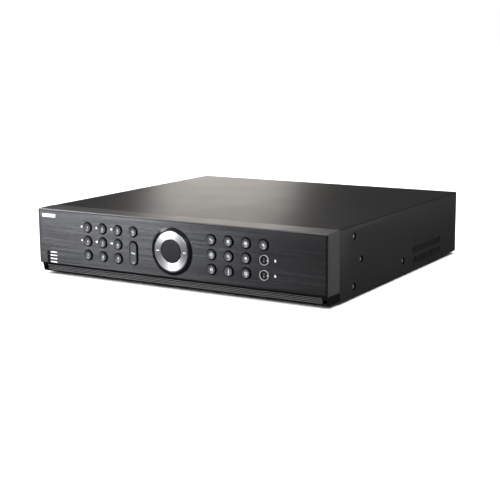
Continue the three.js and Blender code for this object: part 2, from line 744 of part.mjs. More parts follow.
// A D-shaped shell on a body behind the wall, with its contact block inside.
function dSocket(x, z, width, height) {
  const [back, slope] = [REAR_WALL_FRONT - GAP, 1.2];
  const dShape = (inset) => outline([
    [x - width / 2 + inset, z + height / 2 - inset],
    [x - width / 2 + slope + inset, z - height / 2 + inset],
    [x + width / 2 - slope - inset, z - height / 2 + inset],
    [x + width / 2 - inset, z + height / 2 - inset],
  ]);
  const body = block(x - width / 2 - 5.5, x + width / 2 + 5.5, back - 10, back, z - 6, z + 6);
  const shell = upright(dShape(0), back - 1, back + 7).subtract(upright(dShape(0.6), back + 2, back + 8));
  const contacts = upright(dShape(1.6), back + 1, back + 6);
  return joined([body, shell, contacts]);
}

function makeDataSockets() {
  place('display_socket', dSocket(DISPLAY_X, DISPLAY_Z[0], ...D_SHELL), socketMetal);
  place('serial_socket', dSocket(SERIAL_X, SERIAL_Z, ...D_SHELL), socketMetal);

  const back = REAR_WALL_BACK;
  const [x, z] = [DISPLAY_X, DISPLAY_Z[1]];
  const hdmi = block(x - 7.6, x + 7.6, back - 12, back + 0.8, z - 2.8, z + 2.8);
  const hdmiMouth = block(x - 7, x + 7, back - 8, back + 1, z - 2.2, z + 2.2);
  const hdmiTongue = block(x - 5.5, x + 5.5, back - 9, back, z - 0.4, z + 0.6);
  place('digital_display_socket', hdmi.subtract(hdmiMouth).add(hdmiTongue), socketMetal);

  const [netX, netZ] = [NETWORK_X, MAINBOARD_TOP + GAP + 6.9];
  const jack = block(netX - 8, netX + 8, back - 16, back + 0.6, netZ - 6.9, netZ + 6.7);
  const mouth = block(netX - 5.9, netX + 5.9, back - 11, back + 1, netZ - 4.6, netZ + 2.4);
  const notch = block(netX - 3, netX + 3, back - 11, back + 1, netZ + 2, netZ + 5);
  place('network_socket', cut(jack, [mouth, notch]), socketMetal);

  const [usbX, usbLow] = [USB_X, MAINBOARD_TOP + GAP];
  const shell = block(usbX - 7.2, usbX + 7.2, back - 16, back + 0.6, usbLow, usbLow + 15.6);
  const mouths = [];
  const tongues = [];
  for (const floor of [usbLow + 1.4, usbLow + 9]) {
    mouths.push(block(usbX - 6.3, usbX + 6.3, back - 10, back + 1, floor, floor + 5.1));
    tongues.push(block(usbX - 5.6, usbX + 5.6, back - 11, back - 0.5, floor + 2.9, floor + 4.7));
  }
  place('usb_sockets', joined([cut(shell, mouths), ...tongues]), socketMetal);
}

// A long pluggable terminal strip for alarm and control wires.
function makeTerminalStrip() {
  const [count, pitch] = [20, 5.08];
  const [left, bottom] = [TERMINAL_X - (count * pitch) / 2, MAINBOARD_TOP + GAP + 1];
  const [back, right] = [REAR_WALL_BACK + 7, left + count * pitch];
  const body = block(left, right, REAR_WALL_FRONT - 14, back, bottom, bottom + 10.6);
  const wireHoles = [];
  for (let i = 0; i < count; i += 1) {
    const x = left + (i + 0.5) * pitch;
    wireHoles.push(block(x - 1.2, x + 1.2, back - 5, back + 1, bottom + 2, bottom + 4.6));
  }
  place('terminal_strip', cut(body, wireHoles), terminalGreen);
}

// ---------------------------------------------------------------- fan
const FAN_BACK = REAR_WALL_FRONT - GAP;
const FAN_DEPTH = 20;
const FAN_HUB = 11.5;

function makeFanFrame() {
  const front = FAN_BACK - FAN_DEPTH;
  const shape = rectangle(0, 0, FAN_SIZE, FAN_SIZE);
  shape.holes.push(disc(0, 0, FAN_BORE, 24));
  for (const x of [-25, 25]) {
    for (const z of [-25, 25]) shape.holes.push(disc(x, z, 2.1, 6));
  }
  const struts = [45, 135, 225, 315].map((degrees) => {
    const geometry = new THREE.BoxGeometry(20, 2.4, 2.4);
    geometry.translate(20, front + 1.2, 0);
    geometry.rotateY(THREE.MathUtils.degToRad(degrees));
    return solid(geometry);
  });
  const motorSeat = rod(FAN_HUB, front, front + 2.4, 0, 0, 20);
  const body = joined([upright(shape, front, FAN_BACK), ...struts, motorSeat]);
  place('fan_frame', body, blackPlastic, FAN_X, 0, FAN_Z);
}

// Seven flat blades set at an angle around a hub.
function makeFanRotor() {
  const [front, back] = [FAN_BACK - FAN_DEPTH + 3.2, FAN_BACK - 1];
  const [blades, root, tip, chord, pitchAngle] = [7, FAN_HUB - 2, FAN_BORE - 1.2, 19, 42];
  const bodies = [rod(FAN_HUB, front, back, 0, 0, 20)];
  for (let i = 0; i < blades; i += 1) {
    const geometry = new THREE.BoxGeometry(tip - root, 1.3, chord);
    geometry.rotateX(THREE.MathUtils.degToRad(pitchAngle));
    geometry.translate((tip + root) / 2, (front + back) / 2, 0);
    geometry.rotateY((2 * Math.PI * i) / blades);
    bodies.push(solid(geometry));
  }
  const sweep = rod(tip, front, back, 0, 0, 24);
  place('fan_rotor', joined(bodies).intersect(sweep), blackPlastic, FAN_X, 0, FAN_Z);
}

// ---------------------------------------------------------------- power supply and inlet
function makePowerSupply() {
  const [left, right, front, back] = [120, 208, 232, 376];
  const floor = 6;
  const board = block(left + 3, right - 3, front + 3, back - 3, floor + 3, floor + 4.6);
  const parts = [
    [178, 290, 34, 30, 28],
    [140, 300, 18, 26, 22],
    [150, 345, 26, 22, 24],
    [196, 260, 14, 40, 30],
  ].map(([x, y, width, depth, height]) =>
    block(x - width / 2, x + width / 2, y - depth / 2, y + depth / 2, floor + 4, floor + 4 + height));
  const cans = [[140, 262], [158, 262], [190, 335]].map(([x, y]) =>
    post(8, floor + 4, floor + 34, x, y, 12));
  place('power_supply_board', joined([board, ...parts, ...cans]), boardGreen);

  // A U-shaped cage over the board, slotted for air.
  const [height, half] = [62, (right - left) / 2];
  const middle = (left + right) / 2;
  const cageShape = outline([
    [middle - half, floor], [middle - half + 1, floor], [middle - half + 1, height - 1],
    [middle + half - 1, height - 1], [middle + half - 1, floor], [middle + half, floor],
    [middle + half, height], [middle - half, height],
  ]);
  const slots = [];
  for (let y = front + 14; y < back - 10; y += 12) {
    slots.push(block(left + 14, right - 14, y, y + 4, height - 5, height + 5));
  }
  place('power_supply_cage', cut(upright(cageShape, front, back), slots), bareSteel);
}

// The mains inlet: a flanged body with a deep socket and three blades.
function makeInlet() {
  const [x, z, back] = [INLET_X, POWER_Z, REAR_WALL_BACK + GAP];
  const flange = block(x - 16, x + 16, back, back + 2.6, z - 12.5, z + 12.5);
  const body = block(x - 13.7, x + 13.7, back - 17, back + 1, z - 10.2, z + 10.2);
  const mouth = block(x - 12, x + 12, back - 14.4, back + 3, z - 8.2, z + 8.2);
  const blades = [[-7, -2], [7, -2], [0, 3]].map(([dx, dz]) =>
    block(x + dx - 1, x + dx + 1, back - 15, back - 0.5, z + dz - 2, z + dz + 2));
  place('mains_inlet', joined([joined([flange, body]).subtract(mouth), ...blades]), blackPlastic);
}

const ROCKER_PIVOT_Y = REAR_WALL_BACK + 0.4;
const ROCKER_TILT = 10; // degrees either side of the middle
const ROCKER_HALF_HEIGHT = 8;
const ROCKER_WIDTH = 10.6;

function makeRockerFrame() {
  const [back, x, z] = [REAR_WALL_BACK + GAP, SWITCH_X, POWER_Z];
  const flange = upright(rectangle(x, z, 17, 23.4), back, back + 1.6);
  const body = upright(rectangle(x, z, 13.8, 20), back - 14, back + 1);
  const mouth = upright(rectangle(x, z, 11.4, 17.6), back - 8, back + 3);
  place('switch_frame', joined([flange, body]).subtract(mouth), blackPlastic);
}

// A shallow V-shaped rocker, drawn level and then tilted to its on position.
function makeRocker() {
  const [half, side] = [ROCKER_HALF_HEIGHT, ROCKER_WIDTH / 2];
  const shape = outline([
    [-2.4, -half + 1],
    [-4.4, 0],
    [-2.4, half - 1],
    [2.2, half],
    [1.2, 0],
    [2.2, -half],
  ]);
  const geometry = barGeometry(shape, -side, side);
  geometry.rotateX(THREE.MathUtils.degToRad(-ROCKER_TILT));
  place('power_rocker', solid(geometry), blackPlastic, SWITCH_X, ROCKER_PIVOT_Y, POWER_Z);
}

// ---------------------------------------------------------------- feet
function makeFeet() {
  const foot = lying(disc(0, 0, FOOT_RADIUS, 16), -FOOT_HEIGHT, -GAP / 3);
  const recess = post(4, -FOOT_HEIGHT - 1, -FOOT_HEIGHT + 2, 0, 0, 8);
  const [x, front, back] = [CASE_WIDTH / 2 - FOOT_INSET_X, FOOT_INSET_Y, CASE_DEPTH - FOOT_INSET_Y];
  const body = foot.subtract(recess);
  place('foot_front_left', body, footRubber, -x, front, 0);
  place('foot_front_right', body, footRubber, x, front, 0);
  place('foot_rear_left', body, footRubber, -x, back, 0);
  place('foot_rear_right', body, footRubber, x, back, 0);
}

makeTopCover();
makeChassis();
makePlate();
makeBezel();
makeChinStrip();
makeLightGuide();
makeRoundKeys();
makeRingKeys();
makePageKey();
makeSurround();
makeRingPivot();
makeRing();
makeEnterKey();
makeKeypadBoard();
makeRibbon();
makeDriveBracket();
makeDrives();
makeMainboard();
makeHeatsink();
makeCoaxBlocks();
makeAudioSockets();
makeDataSockets();
makeTerminalStrip();
makeFanFrame();
makeFanRotor();
makePowerSupply();
makeInlet();
makeRockerFrame();
makeRocker();
makeFeet();

assembly.position.set(0, -(SURROUND_LIP + COAX_END) / 2, FOOT_HEIGHT);
const group = new THREE.Group();
group.add(assembly);

export default group;
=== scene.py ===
"""Looks of a rack-width digital video recorder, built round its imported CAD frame.

Shapes are drawn in millimetres from the front plate's face (Y = 0, towards the back) and the
underside of the case (Z = 0), with X = 0 in the middle. TO_FRAME moves them to the frame.
"""

import math

import bmesh
import bpy
from mathutils import Matrix, Vector


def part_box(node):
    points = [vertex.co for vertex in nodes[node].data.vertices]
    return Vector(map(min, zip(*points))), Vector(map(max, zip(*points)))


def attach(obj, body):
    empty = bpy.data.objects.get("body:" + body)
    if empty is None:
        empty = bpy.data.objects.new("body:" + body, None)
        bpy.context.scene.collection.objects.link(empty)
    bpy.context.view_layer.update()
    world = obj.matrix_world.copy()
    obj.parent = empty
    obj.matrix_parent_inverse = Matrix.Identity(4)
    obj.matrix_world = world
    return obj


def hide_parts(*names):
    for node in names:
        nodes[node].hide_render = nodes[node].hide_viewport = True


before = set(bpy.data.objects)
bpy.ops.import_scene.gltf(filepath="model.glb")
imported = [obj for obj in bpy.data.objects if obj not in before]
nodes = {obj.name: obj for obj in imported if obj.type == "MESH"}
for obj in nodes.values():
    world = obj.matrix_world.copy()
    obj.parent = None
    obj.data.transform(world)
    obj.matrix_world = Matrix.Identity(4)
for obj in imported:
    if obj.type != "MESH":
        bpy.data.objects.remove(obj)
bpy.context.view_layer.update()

MM = 0.001
ORIGIN = Vector((0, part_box("front_plate")[0].y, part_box("top_cover")[0].z))
TO_FRAME = Matrix.Translation(ORIGIN) @ Matrix.Scale(MM, 4)


def box(node):
    """Lowest and highest corner of a CAD node, in the drawing's millimetres."""
    return [(corner - ORIGIN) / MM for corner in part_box(node)]


def middle(node):
    low, high = box(node)
    return (low + high) / 2


def spot(node):
    """The middle of a CAD node as seen from the front: across and up."""
    centre = middle(node)
    return centre.x, centre.z


# ---------- outlines
def fillet(points, steps=5, closed=True):
    """An outline, rounded at each corner that carries a radius as a third number."""
    rounded = []
    count = len(points)
    for i, point in enumerate(points):
        corner = Vector(point[:2])
        r = point[2] if len(point) > 2 else 0
        if r <= 0 or (not closed and i in (0, count - 1)):
            rounded.append(tuple(corner))
            continue
        before = Vector(points[i - 1][:2]) - corner
        after = Vector(points[(i + 1) % count][:2]) - corner
        half = before.angle(after) / 2
        reach = min(r / math.tan(half), 0.49 * before.length, 0.49 * after.length)
        r = reach * math.tan(half)
        before.normalize()
        after.normalize()
        centre = corner + (before + after).normalized() * (r / math.sin(half))
        start = corner + before * reach - centre
        turn = math.pi - 2 * half
        sign = 1 if before.x * after.y - before.y * after.x < 0 else -1
        for k in range(steps + 1):
            angle = sign * turn * k / steps
            x = centre.x + start.x * math.cos(angle) - start.y * math.sin(angle)
            y = centre.y + start.x * math.sin(angle) + start.y * math.cos(angle)
            rounded.append((x, y))
    return rounded


def circle(a, b, radius, count=40, start=0):
    """A round loop, as a function of how far it is grown. Six sides make it a nut."""
    turns = [math.radians(start) + 2 * math.pi * k / count for k in range(count)]
    return lambda grow: [
        (a + (radius + grow) * math.cos(t), b + (radius + grow) * math.sin(t)) for t in turns
    ]


def stadium(a, b, width, height, count=12):
    """An upright slot with round ends, as a function of how far it is grown."""

    def loop(grow):
        radius = width / 2 + grow
        straight = (height - width) / 2
        ends = [(straight, 0), (-straight, math.pi)]
        return [
            (a + radius * math.cos(start + math.pi * k / count),
             b + lift + radius * math.sin(start + math.pi * k / count))
            for lift, start in ends
            for k in range(count + 1)
        ]

    return loop


def panel(left, right, bottom, top, radius=0.0):
    """A rectangular loop, as a function of how far it is grown."""
    return lambda grow: fillet(
        [(left - grow, bottom - grow, radius), (right + grow, bottom - grow, radius),
         (right + grow, top + grow, radius), (left - grow, top + grow, radius)],
        steps=3,
    )


def bar(a, b, width, height):
    return panel(a - width / 2, a + width / 2, b - height / 2, b + height / 2)(0)


def rod(radius, start, end):
    """Turned profile of a plain round rod."""
    return [(0, start), (radius, start), (radius, end), (0, end)]


# ---------- solids
def facing_front(a, b, depth):
    return (a, depth, b)


def facing_side(a, b, depth):
    return (depth, a, b)


def facing_up(a, b, depth):
    return (a, b, depth)


def add_ring(bm, points, depth, place=facing_front):
    return [bm.verts.new(place(a, b, depth)) for a, b in points]


def bridge(bm, one, two, index=0):
    """Adds a band of faces between two rings of equal length."""
    faces = []
    for k in range(len(one)):
        n = (k + 1) % len(one)
        faces.append(bm.faces.new((one[k], two[k], two[n], one[n])))
        faces[k].material_index = index
    return faces


def add_prism(bm, outline, low, high, place=facing_front, index=0):
    """Adds an outline pulled from one depth to another."""
    rings = [add_ring(bm, outline, depth, place) for depth in (low, high)]
    faces = [bm.faces.new(rings[0]), bm.faces.new(list(reversed(rings[1])))]
    for face in faces:
        face.material_index = index
    return faces + bridge(bm, *rings, index)


def add_block(bm, low, high, index=0):
    """Adds a box between its lowest and its highest corner."""
    outline = [(low[0], low[2]), (high[0], low[2]), (high[0], high[2]), (low[0], high[2])]
    add_prism(bm, outline, low[1], high[1], index=index)


def add_lathe(bm, profile, segments=40, centre=(0, 0), index=0, closed=False, place=facing_front):
    """Adds a turned shape; the profile holds (radius, depth) pairs along the axis."""
    rings = [
        add_ring(bm, circle(*centre, radius, segments)(0) if radius else [centre], depth, place)
        for radius, depth in profile
    ]
    pairs = list(zip(rings, rings[1:]))
    if closed:
        pairs.append((rings[-1], rings[0]))
    for one, two in pairs:
        for k in range(segments):
            n = (k + 1) % segments
            corners = ((one, k), (two, k), (two, n), (one, n))
            distinct = dict.fromkeys(ring[i % len(ring)] for ring, i in corners)
            bm.faces.new(list(distinct)).material_index = index


def add_pierced(bm, loops, front, back, chamfer, rim=0, hole_chamfer=None):
    """Adds a plate with holes: the first loop is its edge, the others are holes in it."""
    front_edges = []
    back_edges = []
    for number, loop in enumerate(loops):
        slope = hole_chamfer if number and hole_chamfer else chamfer
        grow = slope if number else -slope
        rings = [
            add_ring(bm, loop(grow), front),
            add_ring(bm, loop(0), front + math.copysign(slope, back - front)),
            add_ring(bm, loop(0), back),
        ]
        for one, two in zip(rings, rings[1:]):
            bridge(bm, one, two, rim)
        for ring, edges in ((rings[0], front_edges), (rings[2], back_edges)):
            edges += [bm.edges.get(ends) for ends in zip(ring, ring[1:] + ring[:1])]
    for edges in (front_edges, back_edges):
        bmesh.ops.triangle_fill(bm, use_beauty=True, use_dissolve=False, edges=edges)


SMOOTH_ANGLE = 35


def smooth_by_angle(mesh, degrees):
    mesh.polygons.foreach_set("use_smooth", [True] * len(mesh.polygons))
    mesh.set_sharp_from_angle(angle=math.radians(degrees))


def add_object(name, data):
    thing = bpy.data.objects.new(name, data)
    bpy.context.scene.collection.objects.link(thing)
    return thing


def drawn_mesh(name, bm, place=TO_FRAME):
    """Turns a drawing into a mesh, moved to the frame."""
    bmesh.ops.recalc_face_normals(bm, faces=bm.faces)
    mesh = bpy.data.meshes.new(name)
    bm.to_mesh(mesh)
    bm.free()
    mesh.transform(place)
    return mesh


def final_mesh(thing):
    """What an object looks like with its modifiers applied."""
    bpy.context.view_layer.update()
    evaluated = thing.evaluated_get(bpy.context.evaluated_depsgraph_get())
    return bpy.data.meshes.new_from_object(evaluated)


def solid_piece(name, bm, materials, body, replaces=(), smooth=SMOOTH_ANGLE, bevel=0.0):
    """Turns a drawing into a piece that rides on a CAD body."""
    mesh = drawn_mesh(name, bm)
    smooth_by_angle(mesh, smooth)
    return mesh_piece(name, mesh, materials, body, replaces, bevel)


def mesh_piece(name, mesh, materials, body, replaces=(), bevel=0.0):
    """Turns a mesh in the frame into a piece; a mesh that has its material keeps it."""
    piece = add_object(name, mesh)
    if not mesh.materials:
        for material in materials if isinstance(materials, list) else [materials]:
            mesh.materials.append(material)
    if bevel:
        add_bevel(piece, bevel)
    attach(piece, body)
    if replaces:
        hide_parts(*replaces)
    return piece


def add_bevel(piece, width):
    """Rounds the sharp edges of a piece."""
    modifier = piece.modifiers.new("edge", "BEVEL")
    modifier.width = width * MM
    modifier.segments = 2
    modifier.limit_method = "ANGLE"
    modifier.angle_limit = math.radians(40)
    modifier.harden_normals = False


def cut_mesh(piece, tool_mesh):
    """The mesh of a piece with a tool's mesh cut out of it."""
    tool = add_object("cutter", tool_mesh)
    modifier = piece.modifiers.new("cut", "BOOLEAN")
    modifier.operation = "DIFFERENCE"
    modifier.solver = "EXACT"
    modifier.object = tool
    result = final_mesh(piece)
    piece.modifiers.clear()
    bpy.data.objects.remove(tool)
    return result


# ---------- materials
class Surface:
    """A Principled material and short ways to add procedural detail to it."""

    def __init__(self, name, color, roughness, metallic=0.0, specular=0.5):
        self.material = bpy.data.materials.new(name)
        self.material.use_nodes = True
        self.tree = self.material.node_tree
        self.shader = self.tree.nodes["Principled BSDF"]
        self.set("Base Color", (*color, 1))
        self.set("Roughness", roughness)
        self.set("Metallic", metallic)
        self.set("Specular IOR Level", specular)
        self.color = color
        self.roughness = roughness

    def set(self, socket, value):
        self.shader.inputs[socket].default_value = value

    def add(self, kind, **values):
        node = self.tree.nodes.new(kind)
        for key, value in values.items():
            if key in node.inputs:
                node.inputs[key].default_value = value
            else:
                setattr(node, key, value)
        return node

    def link(self, source, target):
        self.tree.links.new(source, target)

    def place(self, stretch=(1, 1, 1)):
        """Object coordinates, stretched."""
        coordinates = self.add("ShaderNodeTexCoord")
        mapping = self.add("ShaderNodeMapping", Scale=stretch)
        self.link(coordinates.outputs["Object"], mapping.inputs["Vector"])
        return mapping.outputs["Vector"]

    def noise(self, scale, stretch=(1, 1, 1), detail=3.0, roughness=0.5):
        noise = self.add("ShaderNodeTexNoise", Scale=scale, Detail=detail, Roughness=roughness)
        self.link(self.place(stretch), noise.inputs["Vector"])
        return noise.outputs["Fac"]

    def rings(self, centre, scale):
        """Noise that only changes with the distance from an axis along Y: a circular brush."""
        coordinates = self.add("ShaderNodeTexCoord")
        offset = self.add("ShaderNodeVectorMath", operation="SUBTRACT")
        offset.inputs[1].default_value = centre
        flat = self.add("ShaderNodeVectorMath", operation="MULTIPLY")
        flat.inputs[1].default_value = (1, 0, 1)
        length = self.add("ShaderNodeVectorMath", operation="LENGTH")
        noise = self.add("ShaderNodeTexNoise", noise_dimensions="1D", Scale=scale, Detail=4.0)
        self.link(coordinates.outputs["Object"], offset.inputs[0])
        self.link(offset.outputs["Vector"], flat.inputs[0])
        self.link(flat.outputs["Vector"], length.inputs[0])
        self.link(length.outputs["Value"], noise.inputs["W"])
        return noise.outputs["Fac"]

    def stretch_highlights(self, amount):
        """Draws highlights out upright, as a brush that runs from side to side does."""
        upright = self.add("ShaderNodeCombineXYZ", Z=1.0)
        self.link(upright.outputs["Vector"], self.shader.inputs["Tangent"])
        self.set("Anisotropic", amount)

    def bump(self, height, strength, distance):
        bump = self.add("ShaderNodeBump", Strength=strength, Distance=distance)
        self.link(height, bump.inputs["Height"])
        self.link(bump.outputs["Normal"], self.shader.inputs["Normal"])

    def tone(self, factor, spread, low=0.3, high=0.7):
        """Lets the base colour vary by a share of itself."""
        ramp = self.add("ShaderNodeValToRGB")
        ends = ramp.color_ramp.elements
        ends[0].position, ends[1].position = low, high
        ends[0].color = (*[c * (1 - spread) for c in self.color], 1)
        ends[1].color = (*[c * (1 + spread) for c in self.color], 1)
        self.link(factor, ramp.inputs["Fac"])
        self.link(ramp.outputs["Color"], self.shader.inputs["Base Color"])

    def gloss(self, factor, spread):
        """Lets the roughness vary around its value."""
        span = self.add("ShaderNodeMapRange")
        span.inputs["To Min"].default_value = self.roughness - spread
        span.inputs["To Max"].default_value = self.roughness + spread
        self.link(factor, span.inputs["Value"])
        self.link(span.outputs["Result"], self.shader.inputs["Roughness"])


def moulded(name, color, roughness, grain=1800, specular=0.5):
    """Moulded plastic with a fine spark texture."""
    surface = Surface(name, color, roughness, specular=specular)
    surface.bump(surface.noise(grain, detail=2), 0.25, 0.00004)
    surface.tone(surface.noise(60), 0.08)
    surface.gloss(surface.noise(35, detail=4), 0.05)
    return surface.material


def metal(name, color, roughness, grain=400, stretch=(1, 1, 1)):
    surface = Surface(name, color, roughness, metallic=0.75)
    surface.bump(surface.noise(grain, stretch), 0.12, 0.00003)
    surface.tone(surface.noise(90), 0.06)
    surface.gloss(surface.noise(140, detail=4), 0.06)
    return surface.material


def powder_coat(name, color):
    surface = Surface(name, color, 0.37, specular=0.5)
    surface.bump(surface.noise(1400, detail=2, roughness=0.6), 0.22, 0.00005)
    surface.tone(surface.noise(9, detail=5), 0.06)
    surface.gloss(surface.noise(14, detail=5), 0.035)
    return surface.material


def brushed_plate():
    """Dark anodised aluminium, brushed from side to side."""
    surface = Surface("brushed_plate", (0.105, 0.105, 0.108), 0.25, metallic=0.96)
    surface.stretch_highlights(0.6)
    hairline = surface.noise(1, stretch=(14, 1, 2600), detail=5, roughness=0.65)
    surface.bump(hairline, 0.35, 0.00006)
    surface.tone(surface.noise(1, stretch=(7, 1, 420), detail=7, roughness=0.75), 0.3, 0.38, 0.62)
    surface.gloss(surface.noise(1, stretch=(10, 1, 500), detail=5), 0.06)
    return surface.material


def ring_metal():
    """Silver metal, brushed in circles round the ring's own axis."""
    low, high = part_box("navigation_ring")
    centre = (low + high) / 2
    surface = Surface("ring_metal", (0.80, 0.80, 0.80), 0.36, metallic=1.0)
    surface.set("Anisotropic", 0.7)
    surface.set("Anisotropic Rotation", 0.25)
    tangent = surface.add("ShaderNodeTangent", direction_type="RADIAL", axis="Y")
    surface.link(tangent.outputs["Tangent"], surface.shader.inputs["Tangent"])
    lines = surface.rings(centre, 2600)
    surface.bump(lines, 0.3, 0.00004)
    surface.tone(surface.rings(centre, 1500), 0.12)
    surface.gloss(surface.rings(centre, 900), 0.05)
    return surface.material


def circuit_board():
    surface = Surface("circuit_board", (0.02, 0.11, 0.045), 0.42)
    tracks = surface.add("ShaderNodeTexBrick", Scale=60.0)
    tracks.inputs["Color1"].default_value = (0.02, 0.12, 0.05, 1)
    tracks.inputs["Color2"].default_value = (0.018, 0.095, 0.04, 1)
    tracks.inputs["Mortar"].default_value = (0.03, 0.17, 0.07, 1)
    surface.link(surface.place(), tracks.inputs["Vector"])
    surface.link(tracks.outputs["Color"], surface.shader.inputs["Base Color"])
    surface.bump(surface.noise(900), 0.2, 0.00004)
    return surface.material


def printed(name, color):
    """Screen-printed ink, with the slight unevenness that it has."""
    surface = Surface(name, color, 0.5)
    surface.tone(surface.noise(2500), 0.05)
    return surface.material


COAT = powder_coat("powder_coat", (0.0085, 0.0080, 0.0083))
REAR_COAT = powder_coat("rear_coat", (0.032, 0.031, 0.032))
PLATE = brushed_plate()
RING = ring_metal()
BEZEL = moulded("bezel_plastic", (0.034, 0.032, 0.031), 0.35, specular=0.8)
CHIN = moulded("chin_plastic", (0.070, 0.070, 0.072), 0.33, grain=900, specular=1.0)
SURROUND = moulded("surround_plastic", (0.004, 0.004, 0.005), 0.2)
KEY = moulded("key_plastic", (0.048, 0.049, 0.052), 0.31, grain=2600)
# Black for parts that are black, and painted shade on key flanks, chin grooves, the bezel under
# and right of the plate, the plate's hole walls and edges, and the side screw cups.
BLACK_AND_PAINTED_SHADE = moulded("key_flank", (0.003, 0.003, 0.003), 0.5, grain=2600, specular=0.12)
ENTER = moulded("enter_plastic", (0.012, 0.011, 0.014), 0.45, grain=2200, specular=0.2)
DARK = moulded("dark_plastic", (0.012, 0.012, 0.013), 0.45)
RUBBER = moulded("foot_rubber", (0.012, 0.012, 0.012), 0.8, grain=700, specular=0.3)
BOARD = circuit_board()
NICKEL = metal("nickel", (0.60, 0.58, 0.54), 0.22)
GOLD = metal("contact_gold", (0.85, 0.60, 0.25), 0.25)
ZINC = metal("zinc_sheet", (0.45, 0.46, 0.48), 0.38, stretch=(1, 6, 1))
CASTING = metal("cast_aluminium", (0.42, 0.43, 0.44), 0.42, grain=700)
SCREW = metal("screw_black", (0.035, 0.035, 0.037), 0.35)
STEEL = metal("screw_steel", (0.30, 0.30, 0.31), 0.42)
INK = printed("pale_ink", (0.80, 0.81, 0.82))
GREY_INK = printed("grey_ink", (0.16, 0.16, 0.17))
GLYPH = printed("glyph_ink", (0.62, 0.63, 0.64))
RIM = moulded("rim_plastic", (0.38, 0.38, 0.39), 0.3)
LENS = moulded("smoky_lens", (0.010, 0.011, 0.012), 0.12)
GREEN = moulded("terminal_green", (0.020, 0.16, 0.055), 0.4)
CABLE = moulded("cable_grey", (0.22, 0.22, 0.225), 0.55)
WHITE_PLASTIC = moulded("white_plastic", (0.62, 0.61, 0.58), 0.4)
RED_PLASTIC = moulded("red_plastic", (0.45, 0.02, 0.02), 0.38)
BLUE_PLASTIC = moulded("blue_plastic", (0.02, 0.06, 0.30), 0.4)


# ---------- camera, light and floor
CAMERA_AZIMUTH, CAMERA_ELEVATION, CAMERA_ROLL = 31.259, 10.669, -0.499
CAMERA_PLACE = Vector((771.88, -1087.0, 296.92))
CAMERA_LENS = 79.3


def towards(azimuth, elevation):
    """A direction from the object, in degrees; azimuth 0 is in front and 90 on the right."""
    turn, rise = math.radians(azimuth), math.radians(elevation)
    level = math.cos(rise)
    return Vector((math.sin(turn) * level, -math.cos(turn) * level, math.sin(rise)))


def make_camera():
    back = towards(CAMERA_AZIMUTH, CAMERA_ELEVATION)
    right = towards(CAMERA_AZIMUTH + 90, 0)
    up = back.cross(right)
    roll = math.radians(CAMERA_ROLL)
    turned_right = right * math.cos(roll) + up * math.sin(roll)
    turned_up = up * math.cos(roll) - right * math.sin(roll)
    camera = add_object("camera", bpy.data.cameras.new("camera"))
    axes = Matrix((turned_right, turned_up, back)).transposed()
    camera.matrix_world = Matrix.Translation(CAMERA_PLACE * MM + ORIGIN) @ axes.to_4x4()
    camera.data.sensor_width = 36
    camera.data.lens = CAMERA_LENS
    camera.data.clip_start = 0.05
    camera.data.clip_end = 60
    bpy.context.scene.camera = camera


def add_softbox(name, azimuth, elevation, distance, width, height, watts, color=(1, 1, 1)):
    """A soft panel aimed at the object."""
    place = distance * towards(azimuth, elevation)
    data = bpy.data.lights.new(name, "AREA")
    data.shape = "RECTANGLE"
    data.size = width
    data.size_y = height
    data.energy = watts
    data.color = color
    light = add_object(name, data)
    light.location = place
    light.rotation_euler = (-place).to_track_quat("-Z", "Y").to_euler()
    light.visible_camera = False


def make_floor():
    """A plain white floor. It lights the object but doesn't show in its glossy surfaces."""
    bm = bmesh.new()
    bmesh.ops.create_grid(bm, x_segments=8, y_segments=8, size=120)
    mesh = bpy.data.meshes.new("floor")
    bm.to_mesh(mesh)
    bm.free()
    floor = add_object("floor", mesh)
    surface = Surface("floor_paper", (0.90, 0.90, 0.90), 0.9, specular=0.0)
    surface.tone(surface.noise(3), 0.004)
    mesh.materials.append(surface.material)
    floor.visible_glossy = False


def make_room():
    """A dim room with a soft pale ceiling. What the camera sees of it directly is white."""
    world = bpy.data.worlds.new("studio")
    bpy.context.scene.world = world
    world.use_nodes = True
    tree = world.node_tree
    direction = tree.nodes.new("ShaderNodeTexCoord")
    split = tree.nodes.new("ShaderNodeSeparateXYZ")
    ramp = tree.nodes.new("ShaderNodeValToRGB")
    stops = [(0.0, 0.012), (0.75, 0.02), (0.95, 0.9)]  # height of the direction, brightness
    for k, (position, level) in enumerate(stops):
        stop = ramp.color_ramp.elements[k] if k < 2 else ramp.color_ramp.elements.new(position)
        stop.position = position
        stop.color = (level, level, level, 1)
    room = tree.nodes["Background"]
    backdrop = tree.nodes.new("ShaderNodeBackground")
    backdrop.inputs["Color"].default_value = (1, 1, 1, 1)
    path = tree.nodes.new("ShaderNodeLightPath")
    mix = tree.nodes.new("ShaderNodeMixShader")
    tree.links.new(direction.outputs["Generated"], split.inputs["Vector"])
    tree.links.new(split.outputs["Z"], ramp.inputs["Fac"])
    tree.links.new(ramp.outputs["Color"], room.inputs["Color"])
    tree.links.new(path.outputs["Is Camera Ray"], mix.inputs["Fac"])
    tree.links.new(room.outputs["Background"], mix.inputs[1])
    tree.links.new(backdrop.outputs["Background"], mix.inputs[2])
    tree.links.new(mix.outputs["Shader"], tree.nodes["World Output"].inputs["Surface"])


def add_overhead(azimuth, elevation, strength, spread):
    """Broad soft light from above. It is too diffuse to show in glossy surfaces."""
    lamp = bpy.data.lights.new("overhead", "SUN")
    lamp.energy = strength
    lamp.angle = math.radians(spread)
    light = add_object("overhead", lamp)
    light.rotation_euler = towards(azimuth, elevation).to_track_quat("Z", "Y").to_euler()
    light.visible_glossy = False


